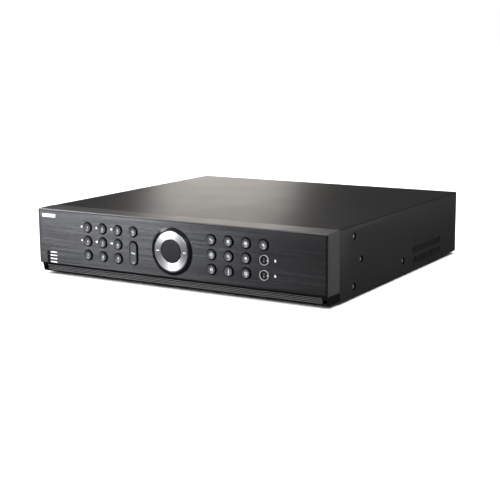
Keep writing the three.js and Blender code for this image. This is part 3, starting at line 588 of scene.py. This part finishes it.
def make_studio():
    make_floor()
    make_room()
    add_overhead(azimuth=20, elevation=68, strength=4.2, spread=70)
    # name, azimuth, elevation, distance, width, height, watts, colour
    add_softbox("back_panel", 213.7, 9.5, 3.0, 0.60, 0.9, 4.0, (1, 0.95, 0.88))
    add_softbox("front_left", 322.5, 19, 2.4, 0.56, 1.6, 51, (0.95, 0.97, 1))
    add_softbox("front_right", 6, 24, 2.6, 1.6, 0.9, 10)
    add_softbox("left_panel", 276, 38, 2.2, 1.1, 1.1, 26, (0.97, 0.98, 1))
    add_softbox("rear_fill", 174, 68, 2.2, 1.6, 0.8, 17)
    add_softbox("right_rear", 130, 4, 2.5, 0.5, 0.5, 10.5, (1, 0.975, 0.99))
    bpy.context.scene.view_settings.view_transform = "Standard"
    bpy.context.scene.view_settings.look = "None"


make_camera()
make_studio()


# ---------- case
SHEET = 1.2
VENT_FRONT, VENT_PITCH, VENT_COUNT, VENT_WIDTH = 246, 7, 14, 3
VENT_ROWS = [(6.5, 16.7), (21.5, 30.5)]
SIDE_SCREWS = [(67.8, 71.5), (87.2, 41.1), (68.5, 11.1), (212.8, 17.0)]
SCREW_HOLE = 4.5
COUNTERSINK = 4.8
CUP_DEPTH = 2.6
FOLD_INSIDE, FOLD_OUTSIDE = 1.2, 2.4


def make_cover():
    """One sheet folded down both sides, with its air slots and screw holes cut through."""
    low, high = box("top_cover")
    left, right, top = low.x + SHEET, high.x - SHEET, high.z - SHEET
    outline = fillet(
        [(low.x, low.z), (left, low.z), (left, top, FOLD_INSIDE), (right, top, FOLD_INSIDE),
         (right, low.z), (high.x, low.z), (high.x, high.z, FOLD_OUTSIDE),
         (low.x, high.z, FOLD_OUTSIDE)],
        steps=6,
    )
    bm = bmesh.new()
    add_prism(bm, outline, low.y, high.y)
    cover = solid_piece("cover_sheet", bm, COAT, "case", ["top_cover"])
    cutter = bmesh.new()
    for face, inward in ((low.x, 1), (high.x, -1)):
        for bottom, top in VENT_ROWS:
            for k in range(VENT_COUNT):
                y = VENT_FRONT + k * VENT_PITCH + VENT_WIDTH / 2
                slot = stadium(y, (bottom + top) / 2, VENT_WIDTH, top - bottom, 6)(0)
                add_prism(cutter, slot, face - 5, face + 5, facing_side)
        for y, z in SIDE_SCREWS:
            sink = [(0, 3), (SCREW_HOLE, 3), (SCREW_HOLE, 0.25), (COUNTERSINK, -0.05), (0, -0.05)]
            profile = [(radius, face + inward * depth) for radius, depth in sink]
            add_lathe(cutter, profile, 32, (y, z), place=facing_side)
    cover.data = cut_mesh(cover, drawn_mesh("cutter", cutter))
    smooth_by_angle(cover.data, SMOOTH_ANGLE)
    add_bevel(cover, 0.25)


def screw_mesh(name, radius, rise, material):
    """A pan head with a cross recess, facing -Y, its seat at depth 0."""
    bm = bmesh.new()
    edge = 0.25
    turns = [math.pi * k / 16 for k in range(8)]
    dome = [(radius * math.cos(t), -edge - (rise - edge) * math.sin(t)) for t in turns]
    add_lathe(bm, [(0, 0), (radius, 0), *dome, (0, -rise)], 28)
    head = add_object(name, drawn_mesh(name, bm, Matrix.Identity(4)))
    cross = bmesh.new()
    arm, width = radius * 0.62, radius * 0.11
    star = [
        (arm, width), (width, width), (width, arm), (-width, arm), (-width, width), (-arm, width),
        (-arm, -width), (-width, -width), (-width, -arm), (width, -arm), (width, -width),
        (arm, -width),
    ]  # a plus sign
    add_prism(cross, star, -rise * 0.45, -rise * 2)
    result = cut_mesh(head, drawn_mesh("cross", cross, Matrix.Identity(4)))
    bpy.data.objects.remove(head)
    result.materials.clear()
    result.materials.append(material)
    return result


def add_screw(name, template, point, turn):
    """A copy of a screw head at a point; turn swings it from facing -Y."""
    mesh = template.copy()
    mesh.transform(TO_FRAME @ Matrix.Translation(point) @ turn)
    smooth_by_angle(mesh, SMOOTH_ANGLE)
    mesh_piece(name, mesh, None, "case")


def make_side_screws():
    """A cup in each side hole, black as painted shade inside the hole, with a steel screw head in
    it.
    """
    template = screw_mesh("side_head", 2.9, 1.7, STEEL)
    low, high = box("top_cover")
    for side, face, inward in (("left", low.x, 1), ("right", high.x, -1)):
        turn = Matrix.Rotation(inward * math.radians(-90), 4, "Z")
        cup = [(4.45, 0.2), (4.4, 0.6), (3.9, 2.2), (3.4, CUP_DEPTH), (0, CUP_DEPTH)]
        profile = [(radius, face + inward * depth) for radius, depth in cup]
        for k, (y, z) in enumerate(SIDE_SCREWS):
            bm = bmesh.new()
            add_lathe(bm, profile, 28, (y, z), place=facing_side)
            bmesh.ops.solidify(bm, geom=bm.faces[:], thickness=0.25)
            # painted shade: the cup is black so that the hole reads dark.
            solid_piece(f"screw_cup_{side}_{k + 1}", bm, BLACK_AND_PAINTED_SHADE, "case")
            seat = (face + inward * CUP_DEPTH, y, z)
            add_screw(f"side_screw_{side}_{k + 1}", template, seat, turn)


def dress(name, material, bevel=0.0, smooth=30):
    """Gives a CAD node that stays its material, soft edges and smooth shading."""
    node = nodes[name]
    node.data.materials.clear()
    node.data.materials.append(material)
    smooth_by_angle(node.data, smooth)
    if bevel:
        add_bevel(node, bevel)


def make_feet():
    """Round rubber feet with a hollow and a deeper screw recess."""
    for side in ("front_left", "front_right", "rear_left", "rear_right"):
        node = f"foot_{side}"
        low, high = box(node)
        centre = middle(node)
        radius = (high.x - low.x) / 2
        hollow, deep = (low.z + (high.z - low.z) * share for share in (0.3, 0.62))
        profile = fillet(
            [(0, high.z), (radius * 0.93, high.z, 0.3), (radius, low.z, 0.9),
             (radius * 0.62, low.z, 0.5), (radius * 0.55, hollow, 0.3), (4, hollow, 0.2),
             (3.6, deep), (0, deep)],
            closed=False,
        )
        bm = bmesh.new()
        add_lathe(bm, profile, 48, (centre.x, centre.y), place=facing_up)
        solid_piece(f"rubber_{node}", bm, RUBBER, "case", [node])


make_cover()
make_side_screws()
make_feet()
dress("chassis_base", REAR_COAT, 0.15)


# ---------- front plate and chin
KEY_HOLE = 6.7
RING_HOLE = 28
CAP = 6.15
FLANGE, FLANGE_FRONT, FLANGE_BACK = 1.5, 1.5, 2.7
PLUNGER, PLUNGER_END = 2, 6.9
NUMBER_KEYS = [f"key_{k}" for k in range(1, 10)] + ["key_0"]
FUNCTION_KEYS = [f"function_key_{k}" for k in range(1, 11)]
RING_KEYS = ["ring_key_upper", "ring_key_lower"]
LIGHT_ROWS = [27.4, 23.0, 18.6, 14.2]
LIGHT_X = middle("status_light_guide").x
LIGHT_WINDOWS = [panel(LIGHT_X - 1.3, LIGHT_X + 1.3, z - 0.8, z + 0.8, 0.3) for z in LIGHT_ROWS]


def add_label(name, outlines, material, body="case", front=-0.04, back=0.02):
    """Flat printed marks: several outlines in one piece, on the plate or on a moving body."""
    bm = bmesh.new()
    for outline in outlines:
        add_prism(bm, outline, front, back)
    solid_piece(name, bm, material, body)


def make_front_plate():
    """The brushed plate, with round holes for its keys and a round hole for the ring."""
    low, high = box("front_plate")
    loops = [panel(low.x, high.x, low.z, high.z)]
    loops += [circle(*spot(node), KEY_HOLE) for node in NUMBER_KEYS + FUNCTION_KEYS + RING_KEYS]
    page_low, page_high = box("page_key")
    page_height = page_high.z - page_low.z - 2 * FLANGE + 2 * (KEY_HOLE - CAP)
    loops.append(stadium(*spot("page_key"), 2 * KEY_HOLE, page_height))
    loops.append(circle(*spot("ring_surround"), RING_HOLE, 96))
    loops += LIGHT_WINDOWS
    bm = bmesh.new()
    # painted shade: the plate's edges and the walls of its holes (material index 1) are black.
    add_pierced(bm, loops, low.y, high.y, 0.3, rim=1, hole_chamfer=0.6)
    solid_piece("plate_brushed", bm, [PLATE, BLACK_AND_PAINTED_SHADE], "case", ["front_plate"])


def make_chin():
    """A leaning strip of ribs, with deep grooves between them and a gap above; the grooves are
    painted black as shade.
    """
    low, high = box("chin_strip")
    ribs, gap, painted_shade_from = 4, 0.7, 0.7
    pitch = (high.z - gap - low.z) / ribs
    lean = 2.2 / (high.z - low.z)
    points = [(high.y, high.z)]
    for k in range(ribs):
        top = high.z - gap - k * pitch
        y = low.y + (high.z - top) * lean
        points += [
            (y + 1.9, top - 0.1 * pitch), (y + 0.5, top - 0.2 * pitch),
            (y, top - 0.38 * pitch, 0.25), (y + 0.1, top - 0.56 * pitch, 0.12),
            (y + 0.5, top - 0.62 * pitch), (y + 1.9, top - 0.66 * pitch),
        ]
    points.append((high.y, low.z))
    bm = bmesh.new()
    for face in add_prism(bm, fillet(points, steps=3), low.x, high.x, facing_side):
        centre = face.calc_center_median()
        front = low.y + (high.z - centre.z) * lean
        # painted shade: faces set back more than a set depth behind the rib fronts are black.
        face.material_index = int(centre.y > front + painted_shade_from)
    solid_piece("chin_ribs", bm, [CHIN, BLACK_AND_PAINTED_SHADE], "case", ["chin_strip"])


def make_bezel():
    """The moulding keeps its CAD shape. Right of the plate and under it, it is painted black as
    shade in the gap at the plate's edge.
    """
    dress("front_bezel", BEZEL, 0.3)
    mesh, place = nodes["front_bezel"].data, nodes["front_bezel"].matrix_world
    mesh.materials.append(BLACK_AND_PAINTED_SHADE)
    low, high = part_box("front_plate")
    for polygon in mesh.polygons:
        corners = [place @ mesh.vertices[k].co for k in polygon.vertices]
        # painted shade: faces under the plate and front faces right of it take the black
        # material.
        under = all(corner.z < low.z + 0.3 * MM for corner in corners)
        beside = all(corner.x > high.x - 0.5 * MM for corner in corners)
        if under or (beside and polygon.normal.y < -0.5):
            polygon.material_index = 1


def make_status_labels():
    """The lights' dark field with a pale bar beside each, and a blank bar at the top left."""
    left, right, half_height = -196.4, -185.6, 0.62
    bars = [panel(left, right, z - half_height, z + half_height, 0.3)(0) for z in LIGHT_ROWS]
    add_label("status_bars", bars, INK)
    bm = bmesh.new()
    field = panel(-202.2, -197.5, LIGHT_ROWS[-1] - 1.5, LIGHT_ROWS[0] + 1.5, 0.6)
    add_pierced(bm, [field] + LIGHT_WINDOWS, -0.03, 0.02, 0.005)
    solid_piece("status_field", bm, BLACK_AND_PAINTED_SHADE, "case")
    add_label("blank_badge", [panel(-208, -186, 73.8, 78.0, 0.8)(0)], INK, front=-0.25)


make_bezel()
make_front_plate()
make_chin()
make_status_labels()
dress("status_light_guide", LENS, 0.1)


# ---------- keys
PROUD = 1.8
DISH_FLOOR = -PROUD + 0.95
GLYPH_FRONT, GLYPH_THICKNESS = DISH_FLOOR - 0.16, 0.2
STEM = [
    (CAP + FLANGE, FLANGE_FRONT), (CAP + FLANGE, FLANGE_BACK), (PLUNGER, FLANGE_BACK),
    (PLUNGER, PLUNGER_END), (0, PLUNGER_END),
]
DISH = [
    (0, DISH_FLOOR), (2.2, DISH_FLOOR - 0.03), (3.1, DISH_FLOOR - 0.14), (4.0, DISH_FLOOR - 0.38),
    (4.75, DISH_FLOOR - 0.72), (5.0, -PROUD + 0.03), (5.3, -PROUD),
]
RIGHT, LEFT, UP, DOWN = (1, 0), (-1, 0), (0, 1), (0, -1)


def make_round_key(node):
    """A grey bowl; its rim, flank and flange are black, painted shade of the cap's side and its
    shadow.
    """
    bm = bmesh.new()
    add_lathe(bm, DISH, 48, spot(node))
    flank = [DISH[-1], (CAP - 0.3, -PROUD + 0.08), (CAP, -PROUD + 0.5), (CAP, FLANGE_FRONT)]
    # painted shade: the rim, flank and flange take the black material in place of the cap's
    # shaded side and cast shadow.
    add_lathe(bm, flank + STEM, 48, spot(node), index=1)
    bmesh.ops.remove_doubles(bm, verts=bm.verts, dist=0.0001)
    solid_piece(f"{node}_cap", bm, [KEY, BLACK_AND_PAINTED_SHADE], node, [node], smooth=28)


def text_outline_mesh(text, size, at, front, thickness):
    """Plain digits as a thin mesh facing the front, centred on a point."""
    curve = bpy.data.curves.new("digit", "FONT")
    curve.body = text
    curve.size = size
    curve.align_x = "CENTER"
    curve.align_y = "CENTER"
    curve.extrude = thickness / 2
    holder = add_object("digit", curve)
    mesh = final_mesh(holder)
    bpy.data.objects.remove(holder)
    low = [min(v.co[k] for v in mesh.vertices) for k in (0, 1)]
    high = [max(v.co[k] for v in mesh.vertices) for k in (0, 1)]
    shift = Matrix.Translation((-(low[0] + high[0]) / 2, -(low[1] + high[1]) / 2, 0))
    stand = Matrix.Translation(facing_front(*at, front + thickness / 2))
    turn = Matrix.Rotation(math.radians(90), 4, "X")
    mesh.transform(TO_FRAME @ stand @ turn @ shift)
    return mesh


def triangle(a, b, size, way):
    """A small arrow head that points one way."""
    right, up = way[0] * size, way[1] * size
    foot_a, foot_b = a - 0.7 * right, b - 0.7 * up
    return [
        (a + right, b + up),
        (foot_a - 0.95 * up, foot_b + 0.95 * right),
        (foot_a + 0.95 * up, foot_b - 0.95 * right),
    ]


def enlarge(marks, centre, factor):
    """Scales outlines about a centre."""
    x, z = centre
    return [[(x + (a - x) * factor, z + (b - z) * factor) for a, b in mark] for mark in marks]


def loop_mark(a, b, radius, width, gap=6, start=90, steps=20):
    """A thin open loop; the gap and the start are in degrees. Four steps make it a square."""
    turns = [math.radians(start + gap / 2 + (360 - gap) * k / steps) for k in range(steps + 1)]
    path = [(radius, t) for t in turns] + [(radius - width, t) for t in reversed(turns)]
    return [(a + r * math.cos(t), b + r * math.sin(t)) for r, t in path]


def function_marks(a, b):
    """Ten plain transport and menu marks, in the order of the keys."""
    return [
        [bar(a - 0.75, b + 0.75, 1.4, 1.3), bar(a + 0.75, b - 0.75, 1.4, 1.3)],
        [bar(a, b + 1.1, 3.0, 0.6), bar(a, b, 3.0, 0.6), bar(a, b - 1.1, 3.0, 0.6)],
        [loop_mark(a, b, 1.8, 0.6), circle(a, b, 0.6, 12)(0)],
        [loop_mark(a, b, 1.75, 0.65)],
        [loop_mark(a - 0.4, b + 0.4, 1.3, 0.5),
         [(a + 0.5, b - 0.2), (a + 0.9, b - 0.2), (a + 1.9, b - 1.4), (a + 1.3, b - 1.7)]],
        [circle(a, b, 1.3, 20)(0)],
        [loop_mark(a, b, 1.9, 0.7, gap=2, start=45, steps=4)],
        [bar(a, b + 1.5, 1.0, 1.0), bar(a, b, 1.0, 1.0), bar(a, b - 1.5, 1.0, 1.0)],
        [loop_mark(a, b, 1.8, 0.6, gap=70), bar(a, b + 1.3, 0.6, 1.4)],
        [triangle(a - 0.8, b + 0.5, 1.1, LEFT), triangle(a + 0.8, b - 0.5, 1.1, RIGHT)],
    ]


def make_keys():
    for node in NUMBER_KEYS:
        make_round_key(node)
        mesh = text_outline_mesh(node[-1], 4.7, spot(node), GLYPH_FRONT, GLYPH_THICKNESS)
        mesh_piece(f"{node}_digit", mesh, GLYPH, node)
    for number, node in enumerate(FUNCTION_KEYS):
        make_round_key(node)
        marks = enlarge(function_marks(*spot(node))[number], spot(node), 1.15)
        back = GLYPH_FRONT + GLYPH_THICKNESS
        add_label(f"{node}_mark", marks, GLYPH, node, GLYPH_FRONT, back)


def make_page_key():
    """The tall key: a rounded slab with a shallow valley and a small double mark."""
    node = "page_key"
    low, high = box(node)
    x, z = spot(node)
    length = high.z - low.z - 2 * FLANGE
    levels = [
        (0.0, FLANGE_FRONT), (0.0, -PROUD + 0.55), (-0.18, -PROUD + 0.16), (-0.55, -PROUD),
        (-1.1, -PROUD + 0.1), (-2.2, -PROUD + 0.42), (-3.6, -PROUD + 0.62), (-5.2, -PROUD + 0.7),
    ]
    # painted shade: the outer levels of the slab and the flange are black, standing in for the
    # key's shaded side.
    painted_shade_levels = 4
    bm = bmesh.new()
    shape = stadium(x, z, 2 * CAP, length, 20)
    rings = [add_ring(bm, shape(grow), depth) for grow, depth in levels]
    for number, (one, two) in enumerate(zip(rings, rings[1:])):
        bridge(bm, one, two, int(number < painted_shade_levels))
    bm.faces.new(rings[0])
    bm.faces.new(list(reversed(rings[-1])))
    flange = stadium(x, z, 2 * (CAP + FLANGE), length + 2 * FLANGE, 20)(0)
    add_prism(bm, flange, FLANGE_FRONT, FLANGE_BACK, index=1)
    add_lathe(bm, rod(PLUNGER, FLANGE_BACK, PLUNGER_END), 20, (x, z), index=1)
    solid_piece("page_key_cap", bm, [KEY, BLACK_AND_PAINTED_SHADE], node, [node], smooth=28)
    marks = [triangle(x - 1.6, z + 0.5, 1.3, UP), triangle(x + 1.6, z - 0.5, 1.3, DOWN)]
    add_label("page_key_mark", marks, GLYPH, node, -PROUD + 0.5, -PROUD + 0.75)


def make_ring_keys():
    """Two flush keys: a dark cap in a bright rim, with a small tab and a grey mark."""
    for node in RING_KEYS:
        x, z = spot(node)
        bm = bmesh.new()
        face = [(0, 0.15), (3.2, 0.12), (5.3, 0.05), (5.45, 0.25), (5.45, 1.2), (CAP - 0.15, 1.2),
                (CAP - 0.15, FLANGE_FRONT)]
        add_lathe(bm, face + STEM, 44, (x, z))
        solid_piece(f"{node}_cap", bm, BLACK_AND_PAINTED_SHADE, node, [node], smooth=28)
        rim = [(5.65, 1.3), (5.65, -0.25), (5.75, -0.4), (6.0, -0.4), (CAP, -0.25), (CAP, 1.3)]
        bm = bmesh.new()
        add_lathe(bm, rim, 44, (x, z), closed=True)
        add_prism(bm, bar(x + 5.2, z - 0.2, 1.9, 1.5), -0.42, 0.4)
        solid_piece(f"{node}_rim", bm, RIM, node, smooth=28)
        mark = [circle(x - 0.2, z - 1.6, 0.9, 16)(0), bar(x, z + 1.4, 2.2, 0.6)]
        add_label(f"{node}_mark", mark, GREY_INK, node, 0.0, 0.2)


def make_plate_marks():
    """Small printed marks beside the keys, and four small black indicator windows."""
    at = [(x - 10.2, z + 0.4) for x, z in map(spot, NUMBER_KEYS[:6])]
    marks = [
        triangle(*at[0], 1.6, LEFT), triangle(*at[1], 1.6, UP), bar(*at[2], 2.6, 2.2),
        triangle(*at[3], 1.6, LEFT), circle(*at[4], 1.5, 16)(0), bar(*at[5], 3.2, 1.7),
    ]
    for x, z in map(spot, RING_KEYS):
        marks.append(triangle(x + 15.4, z - 0.2, 1.4, DOWN))
        marks.append(bar(x + 15.2, z + 1.3, 0.8, 1.6))
    add_label("plate_marks", marks, INK)
    windows = [(x + 12.4, z - 0.2) for x, z in map(spot, RING_KEYS)]
    windows += [(x - 6.8, z + 7.2) for x, z in map(spot, FUNCTION_KEYS[7:9])]
    add_label("plate_indicators", [circle(a, b, 0.75, 16)(0) for a, b in windows], BLACK_AND_PAINTED_SHADE)


make_keys()
make_page_key()
make_ring_keys()
make_plate_marks()


# ---------- four-way ring
def make_ring():
    """The tilting ring with its four posts behind, and small marks on its four sides."""
    body = "navigation_ring"
    low, high = box(body)
    x, z = spot(body)
    outer, front = (high.x - low.x) / 2 + 0.8, low.y
    inner = 14.7
    profile = fillet(
        [(inner, 0), (inner, front + 0.35, 0.25), (inner + 0.9, front, 0.5),
         (outer - 1.0, front, 0.5), (outer, front + 0.7, 0.3), (outer, 0)],
        steps=4,
    )
    bm = bmesh.new()
    add_lathe(bm, profile, 128, (x, z), closed=True)
    post_orbit = 21.5
    for degrees in (90, 270, 15, 165):
        turn = math.radians(degrees)
        post = (x + post_orbit * math.cos(turn), z + post_orbit * math.sin(turn))
        add_lathe(bm, rod(1.6, -0.5, PLUNGER_END), 20, post)
    solid_piece("ring_face", bm, RING, body, [body], smooth=28)
    orbit = (outer + inner) / 2
    dark = [triangle(x, z + orbit, 1.5, UP), triangle(x, z - orbit, 1.5, DOWN)]
    pale = [
        triangle(x - orbit - 1.1, z, 1.0, LEFT), triangle(x - orbit + 1.1, z, 1.0, LEFT),
        triangle(x + orbit + 1.1, z, 1.0, RIGHT), triangle(x + orbit - 1.1, z, 1.0, RIGHT),
    ]
    add_label("ring_marks_dark", dark, GREY_INK, body, front - 0.04, front + 0.05)
    add_label("ring_marks_pale", pale, INK, body, front - 0.04, front + 0.05)


def make_surround():
    """A black cone round the ring, with a sleeve that goes back through the plate."""
    node = "ring_surround"
    low, high = box(node)
    outer = (high.x - low.x) / 2
    bore, sleeve, back = 25.8, 27.6, 6
    profile = fillet(
        [(bore, back), (bore, low.y, 0.15), (bore + 0.8, low.y, 0.4), (outer, -0.62, 0.3),
         (outer, -0.25), (sleeve, -0.25), (sleeve, back)],
    )
    bm = bmesh.new()
    add_lathe(bm, profile, 128, spot(node), closed=True)
    solid_piece("surround_cone", bm, SURROUND, "case", [node], smooth=28)


def make_enter_key():
    """The round cap in the middle of the ring, with a slightly sunk face."""
    low, high = box("enter_key")
    radius = (high.x - low.x) / 2
    steps, back, stem = 12, 4.2, 3
    shares = [k / steps for k in range(steps + 1)]
    crown = [(radius * 0.93 * share, low.y + 0.02 + 0.16 * share**2) for share in shares]
    profile = crown + [
        (radius - 0.45, low.y + 0.3), (radius - 0.12, low.y + 0.62), (radius, low.y + 1.1),
        (radius, back), (stem, back), (stem, PLUNGER_END), (0, PLUNGER_END),
    ]
    bm = bmesh.new()
    add_lathe(bm, profile, 96, spot("enter_key"))
    solid_piece("enter_cap", bm, ENTER, "enter_key", ["enter_key"], smooth=28)


make_ring()
make_surround()
make_enter_key()
dress("ring_pivot", DARK, 0.1)


# ---------- inside
dress("keypad_board", BOARD)
dress("mainboard", BOARD)
dress("power_supply_board", BOARD)
dress("ribbon_cable", CABLE, 0.1)
dress("drive_bracket", ZINC, 0.1)
# painted shade: the cage takes the dark case coat so that the inside shows dark through the side
# vents.
dress("power_supply_cage", COAT, 0.1)
dress("hard_drive_1", CASTING, 0.4)
dress("hard_drive_2", CASTING, 0.4)
dress("heatsink", CASTING, 0.1)
dress("fan_frame", DARK, 0.3)
dress("fan_rotor", DARK, 0.15)


# ---------- rear sockets
WALL = box("chassis_base")[1].y
COAX_ROWS = (62, 40)
COAX_PITCH = 18
COAX_RADIUS, COAX_BORE, COAX_DEPTH = 4.8, 4.05, 8
PIN_PITCH = 2.29


def add_socket_body(bm, node, index):
    """Adds the moulded block that a socket has behind the rear wall."""
    low, high = box(node)
    add_block(bm, low, (high.x, WALL - 1.5, high.z), index)


def add_coax(bm, x, z, end):
    """A bayonet jack: washer, nut, barrel with two lugs, sleeve and gold contact."""
    at = (x, z)
    washer = [(COAX_RADIUS, WALL + 0.05), (6.9, WALL + 0.05), (6.9, WALL + 0.55),
              (COAX_RADIUS, WALL + 0.55)]
    add_lathe(bm, washer, 32, at, closed=True)
    add_prism(bm, circle(x, z, 6.6, 6, 30)(0), WALL + 0.55, WALL + 2.3)
    floor = end - COAX_DEPTH
    barrel = fillet(
        [(0, WALL - 8), (COAX_RADIUS, WALL - 8), (COAX_RADIUS, end, 0.25), (COAX_BORE, end, 0.2),
         (COAX_BORE, floor), (0, floor)],
        steps=3,
        closed=False,
    )
    add_lathe(bm, barrel, 32, at)
    for side in (-1, 1):
        root = x + side * (COAX_RADIUS - 0.4)
        lug = fillet(
            [(0, root), (1.0, root), (1.0, root + side * 1.5, 0.2), (0, root + side * 1.5)],
            closed=False,
        )
        add_lathe(bm, lug, 14, (end - 3.6, z), place=facing_side)
    seat = end - 3
    sleeve = [(0, floor), (2.4, floor), (2.4, end - 0.9), (0.75, end - 0.9), (0.75, seat),
              (0, seat)]
    add_lathe(bm, sleeve, 24, at, index=1)
    contact = [(0.72, seat), (0.72, end - 0.6), (0.4, end - 0.6), (0.4, seat)]
    add_lathe(bm, contact, 16, at, index=2, closed=True)


def make_coax(node, columns):
    end = box(node)[1].y
    bm = bmesh.new()
    add_socket_body(bm, node, 3)
    for x in columns:
        for z in COAX_ROWS:
            add_coax(bm, x, z, end)
    materials = [NICKEL, WHITE_PLASTIC, GOLD, DARK]
    solid_piece(f"{node}_jacks", bm, materials, "case", [node])


def make_audio():
    """Six round jacks in a column of white and a column of red."""
    low, high = box("audio_sockets")
    end, edge, pitch = high.y, 6.5, 14
    bm = bmesh.new()
    add_socket_body(bm, "audio_sockets", 1)
    collar = [(4.4, WALL - 1), (6.2, WALL - 1), (6.2, WALL + 1.2), (5.9, WALL + 1.5),
              (4.4, WALL + 1.5)]
    shell = [(3.2, WALL - 1), (4.15, WALL - 1), (4.15, end - 0.3), (3.95, end), (3.4, end),
             (3.2, end - 0.3)]
    core = [(0, WALL), (3.15, WALL), (3.15, end - 1.2), (1.7, end - 1.2), (1.6, WALL + 2),
            (0, WALL + 2)]
    for index, x in ((2, low.x + edge), (3, high.x - edge)):
        for k in range(3):
            at = (x, high.z - pitch / 2 - pitch * k)
            add_lathe(bm, collar, 32, at, index=index, closed=True)
            add_lathe(bm, shell, 32, at, closed=True)
            add_lathe(bm, core, 28, at, index=index)
    materials = [NICKEL, DARK, WHITE_PLASTIC, RED_PLASTIC]
    solid_piece("audio_jacks", bm, materials, "case", ["audio_sockets"])


def make_d_socket(node, pins_per_row, insert):
    """A D-shaped shell round an insert with pin holes, and two hexagonal jack posts."""
    x, z = spot(node)
    end = box(node)[1].y
    bm = bmesh.new()
    add_socket_body(bm, node, 1)

    def d_outline(inset):
        half_top, half_bottom, half_height = 8.45 - inset, 7.25 - inset, 4.15 - inset
        return fillet(
            [(x - half_top, z + half_height, 1.4), (x - half_bottom, z - half_height, 1.4),
             (x + half_bottom, z - half_height, 1.4), (x + half_top, z + half_height, 1.4)],
            steps=4,
        )

    levels = [(0, WALL - 2), (0, end - 0.2), (0.15, end), (0.4, end), (0.5, end - 0.2),
              (0.5, WALL - 1)]
    loops = [add_ring(bm, d_outline(inset), depth) for inset, depth in levels]
    for one, two in zip(loops, loops[1:] + loops[:1]):
        bridge(bm, one, two)
    add_prism(bm, d_outline(1.3), WALL - 1, end - 0.7, index=2)
    rows = len(pins_per_row)
    row_pitch = 1.98 if rows == 3 else 2.6
    for row, count in enumerate(pins_per_row):
        for k in range(count):
            a = x + (k - (count - 1) / 2) * PIN_PITCH
            b = z + ((rows - 1) / 2 - row) * row_pitch
            add_lathe(bm, rod(0.5, end - 0.9, end - 0.62), 12, (a, b), index=1)
    for a in (x - 12.5, x + 12.5):
        add_prism(bm, circle(a, z, 2.7, 6)(0), WALL + 0.05, WALL + 4.6)
        add_lathe(bm, rod(1.4, WALL + 4.5, WALL + 4.75), 16, (a, z), index=1)
    solid_piece(f"{node}_shell", bm, [NICKEL, DARK, insert], "case", [node])


def make_small_sockets():
    """Display, network and data sockets: plated shells with gold contacts inside."""
    dress("digital_display_socket", NICKEL, 0.15)
    dress("network_socket", NICKEL, 0.2)
    dress("usb_sockets", NICKEL, 0.15)
    floor = box("network_socket")[0].z
    bm = bmesh.new()
    for k in range(8):
        x = middle("network_socket").x + (k - 3.5) * 1.02
        add_block(bm, (x - 0.22, WALL - 9, floor + 2.35), (x + 0.22, WALL - 2, floor + 2.75))
    solid_piece("network_contacts", bm, GOLD, "case")
    bottom = box("usb_sockets")[0].z
    bm = bmesh.new()
    for floor in (bottom + 1.4, bottom + 9):
        for k in range(4):
            x = middle("usb_sockets").x + (k - 1.5) * 2.2
            add_block(bm, (x - 0.5, WALL - 8, floor + 2.78), (x + 0.5, WALL - 1, floor + 2.95))
    solid_piece("usb_contacts", bm, GOLD, "case")


def make_terminals():
    """A green strip with a slotted screw in each way and a rib between the ways."""
    dress("terminal_strip", GREEN, 0.2)
    low, high = box("terminal_strip")
    back = high.y
    ways = 20
    pitch = (high.x - low.x) / ways
    screw = [(0, back - 0.6), (1.75, back - 0.6), (1.75, back + 0.02), (1.5, back + 0.12),
             (0, back + 0.12)]
    bm = bmesh.new()
    for k in range(ways):
        x, z = low.x + (k + 0.5) * pitch, high.z - 2.9
        add_lathe(bm, screw, 20, (x, z))
        add_prism(bm, bar(x, z, 2.9, 0.45), back + 0.1, back + 0.16, index=1)
    solid_piece("terminal_screws", bm, [NICKEL, DARK], "case")
    bm = bmesh.new()
    for k in range(1, ways):
        x = low.x + k * pitch
        add_block(bm, (x - 0.25, back - 1, low.z + 0.3), (x + 0.25, back + 0.7, high.z - 0.3))
    solid_piece("terminal_ribs", bm, GREEN, "case", bevel=0.1)


def make_power_entry():
    """The mains inlet with its three blades, and the power switch."""
    dress("mains_inlet", DARK, 0.4)
    dress("switch_frame", DARK, 0.3)
    dress("power_rocker", SURROUND, 0.5)
    centre_x, centre_z = spot("mains_inlet")
    end = box("mains_inlet")[1].y - 2.6
    half_width, half_height = 1.06, 2.06
    bm = bmesh.new()
    for across, up in ((-7, -2), (7, -2), (0, 3)):
        x, z = centre_x + across, centre_z + up
        add_block(bm, (x - half_width, end - 14.2, z - half_height),
                  (x + half_width, end - 0.44, z + half_height))
    solid_piece("inlet_blades", bm, NICKEL, "case", bevel=0.25)


def make_rear_screws():
    """Black screws that hold the cover, the rear fittings, the inlet and the fan."""
    template = screw_mesh("rear_head", 2.9, 1.5, SCREW)
    turn = Matrix.Rotation(math.radians(180), 4, "Z")
    low, high = box("top_cover")
    left, right = low.x + 8, high.x - 8
    places = [(left, 76), (-70, 77), (70, 78), (right, 76), (left, 26), (right, 26), (120, 12),
              (58, 68), (58, 17), (108, 68), (108, 17)]
    for k, (x, z) in enumerate(places):
        add_screw(f"rear_screw_{k + 1}", template, (x, WALL, z), turn)


columns = [middle("video_sockets").x + (k - 3.5) * COAX_PITCH for k in range(8)]
make_coax("video_sockets", columns)
make_coax("monitor_sockets", [middle("monitor_sockets").x])
make_audio()
make_d_socket("display_socket", (5, 5, 5), BLUE_PLASTIC)
make_d_socket("serial_socket", (5, 4), DARK)
make_small_sockets()
make_terminals()
make_power_entry()
make_rear_screws()
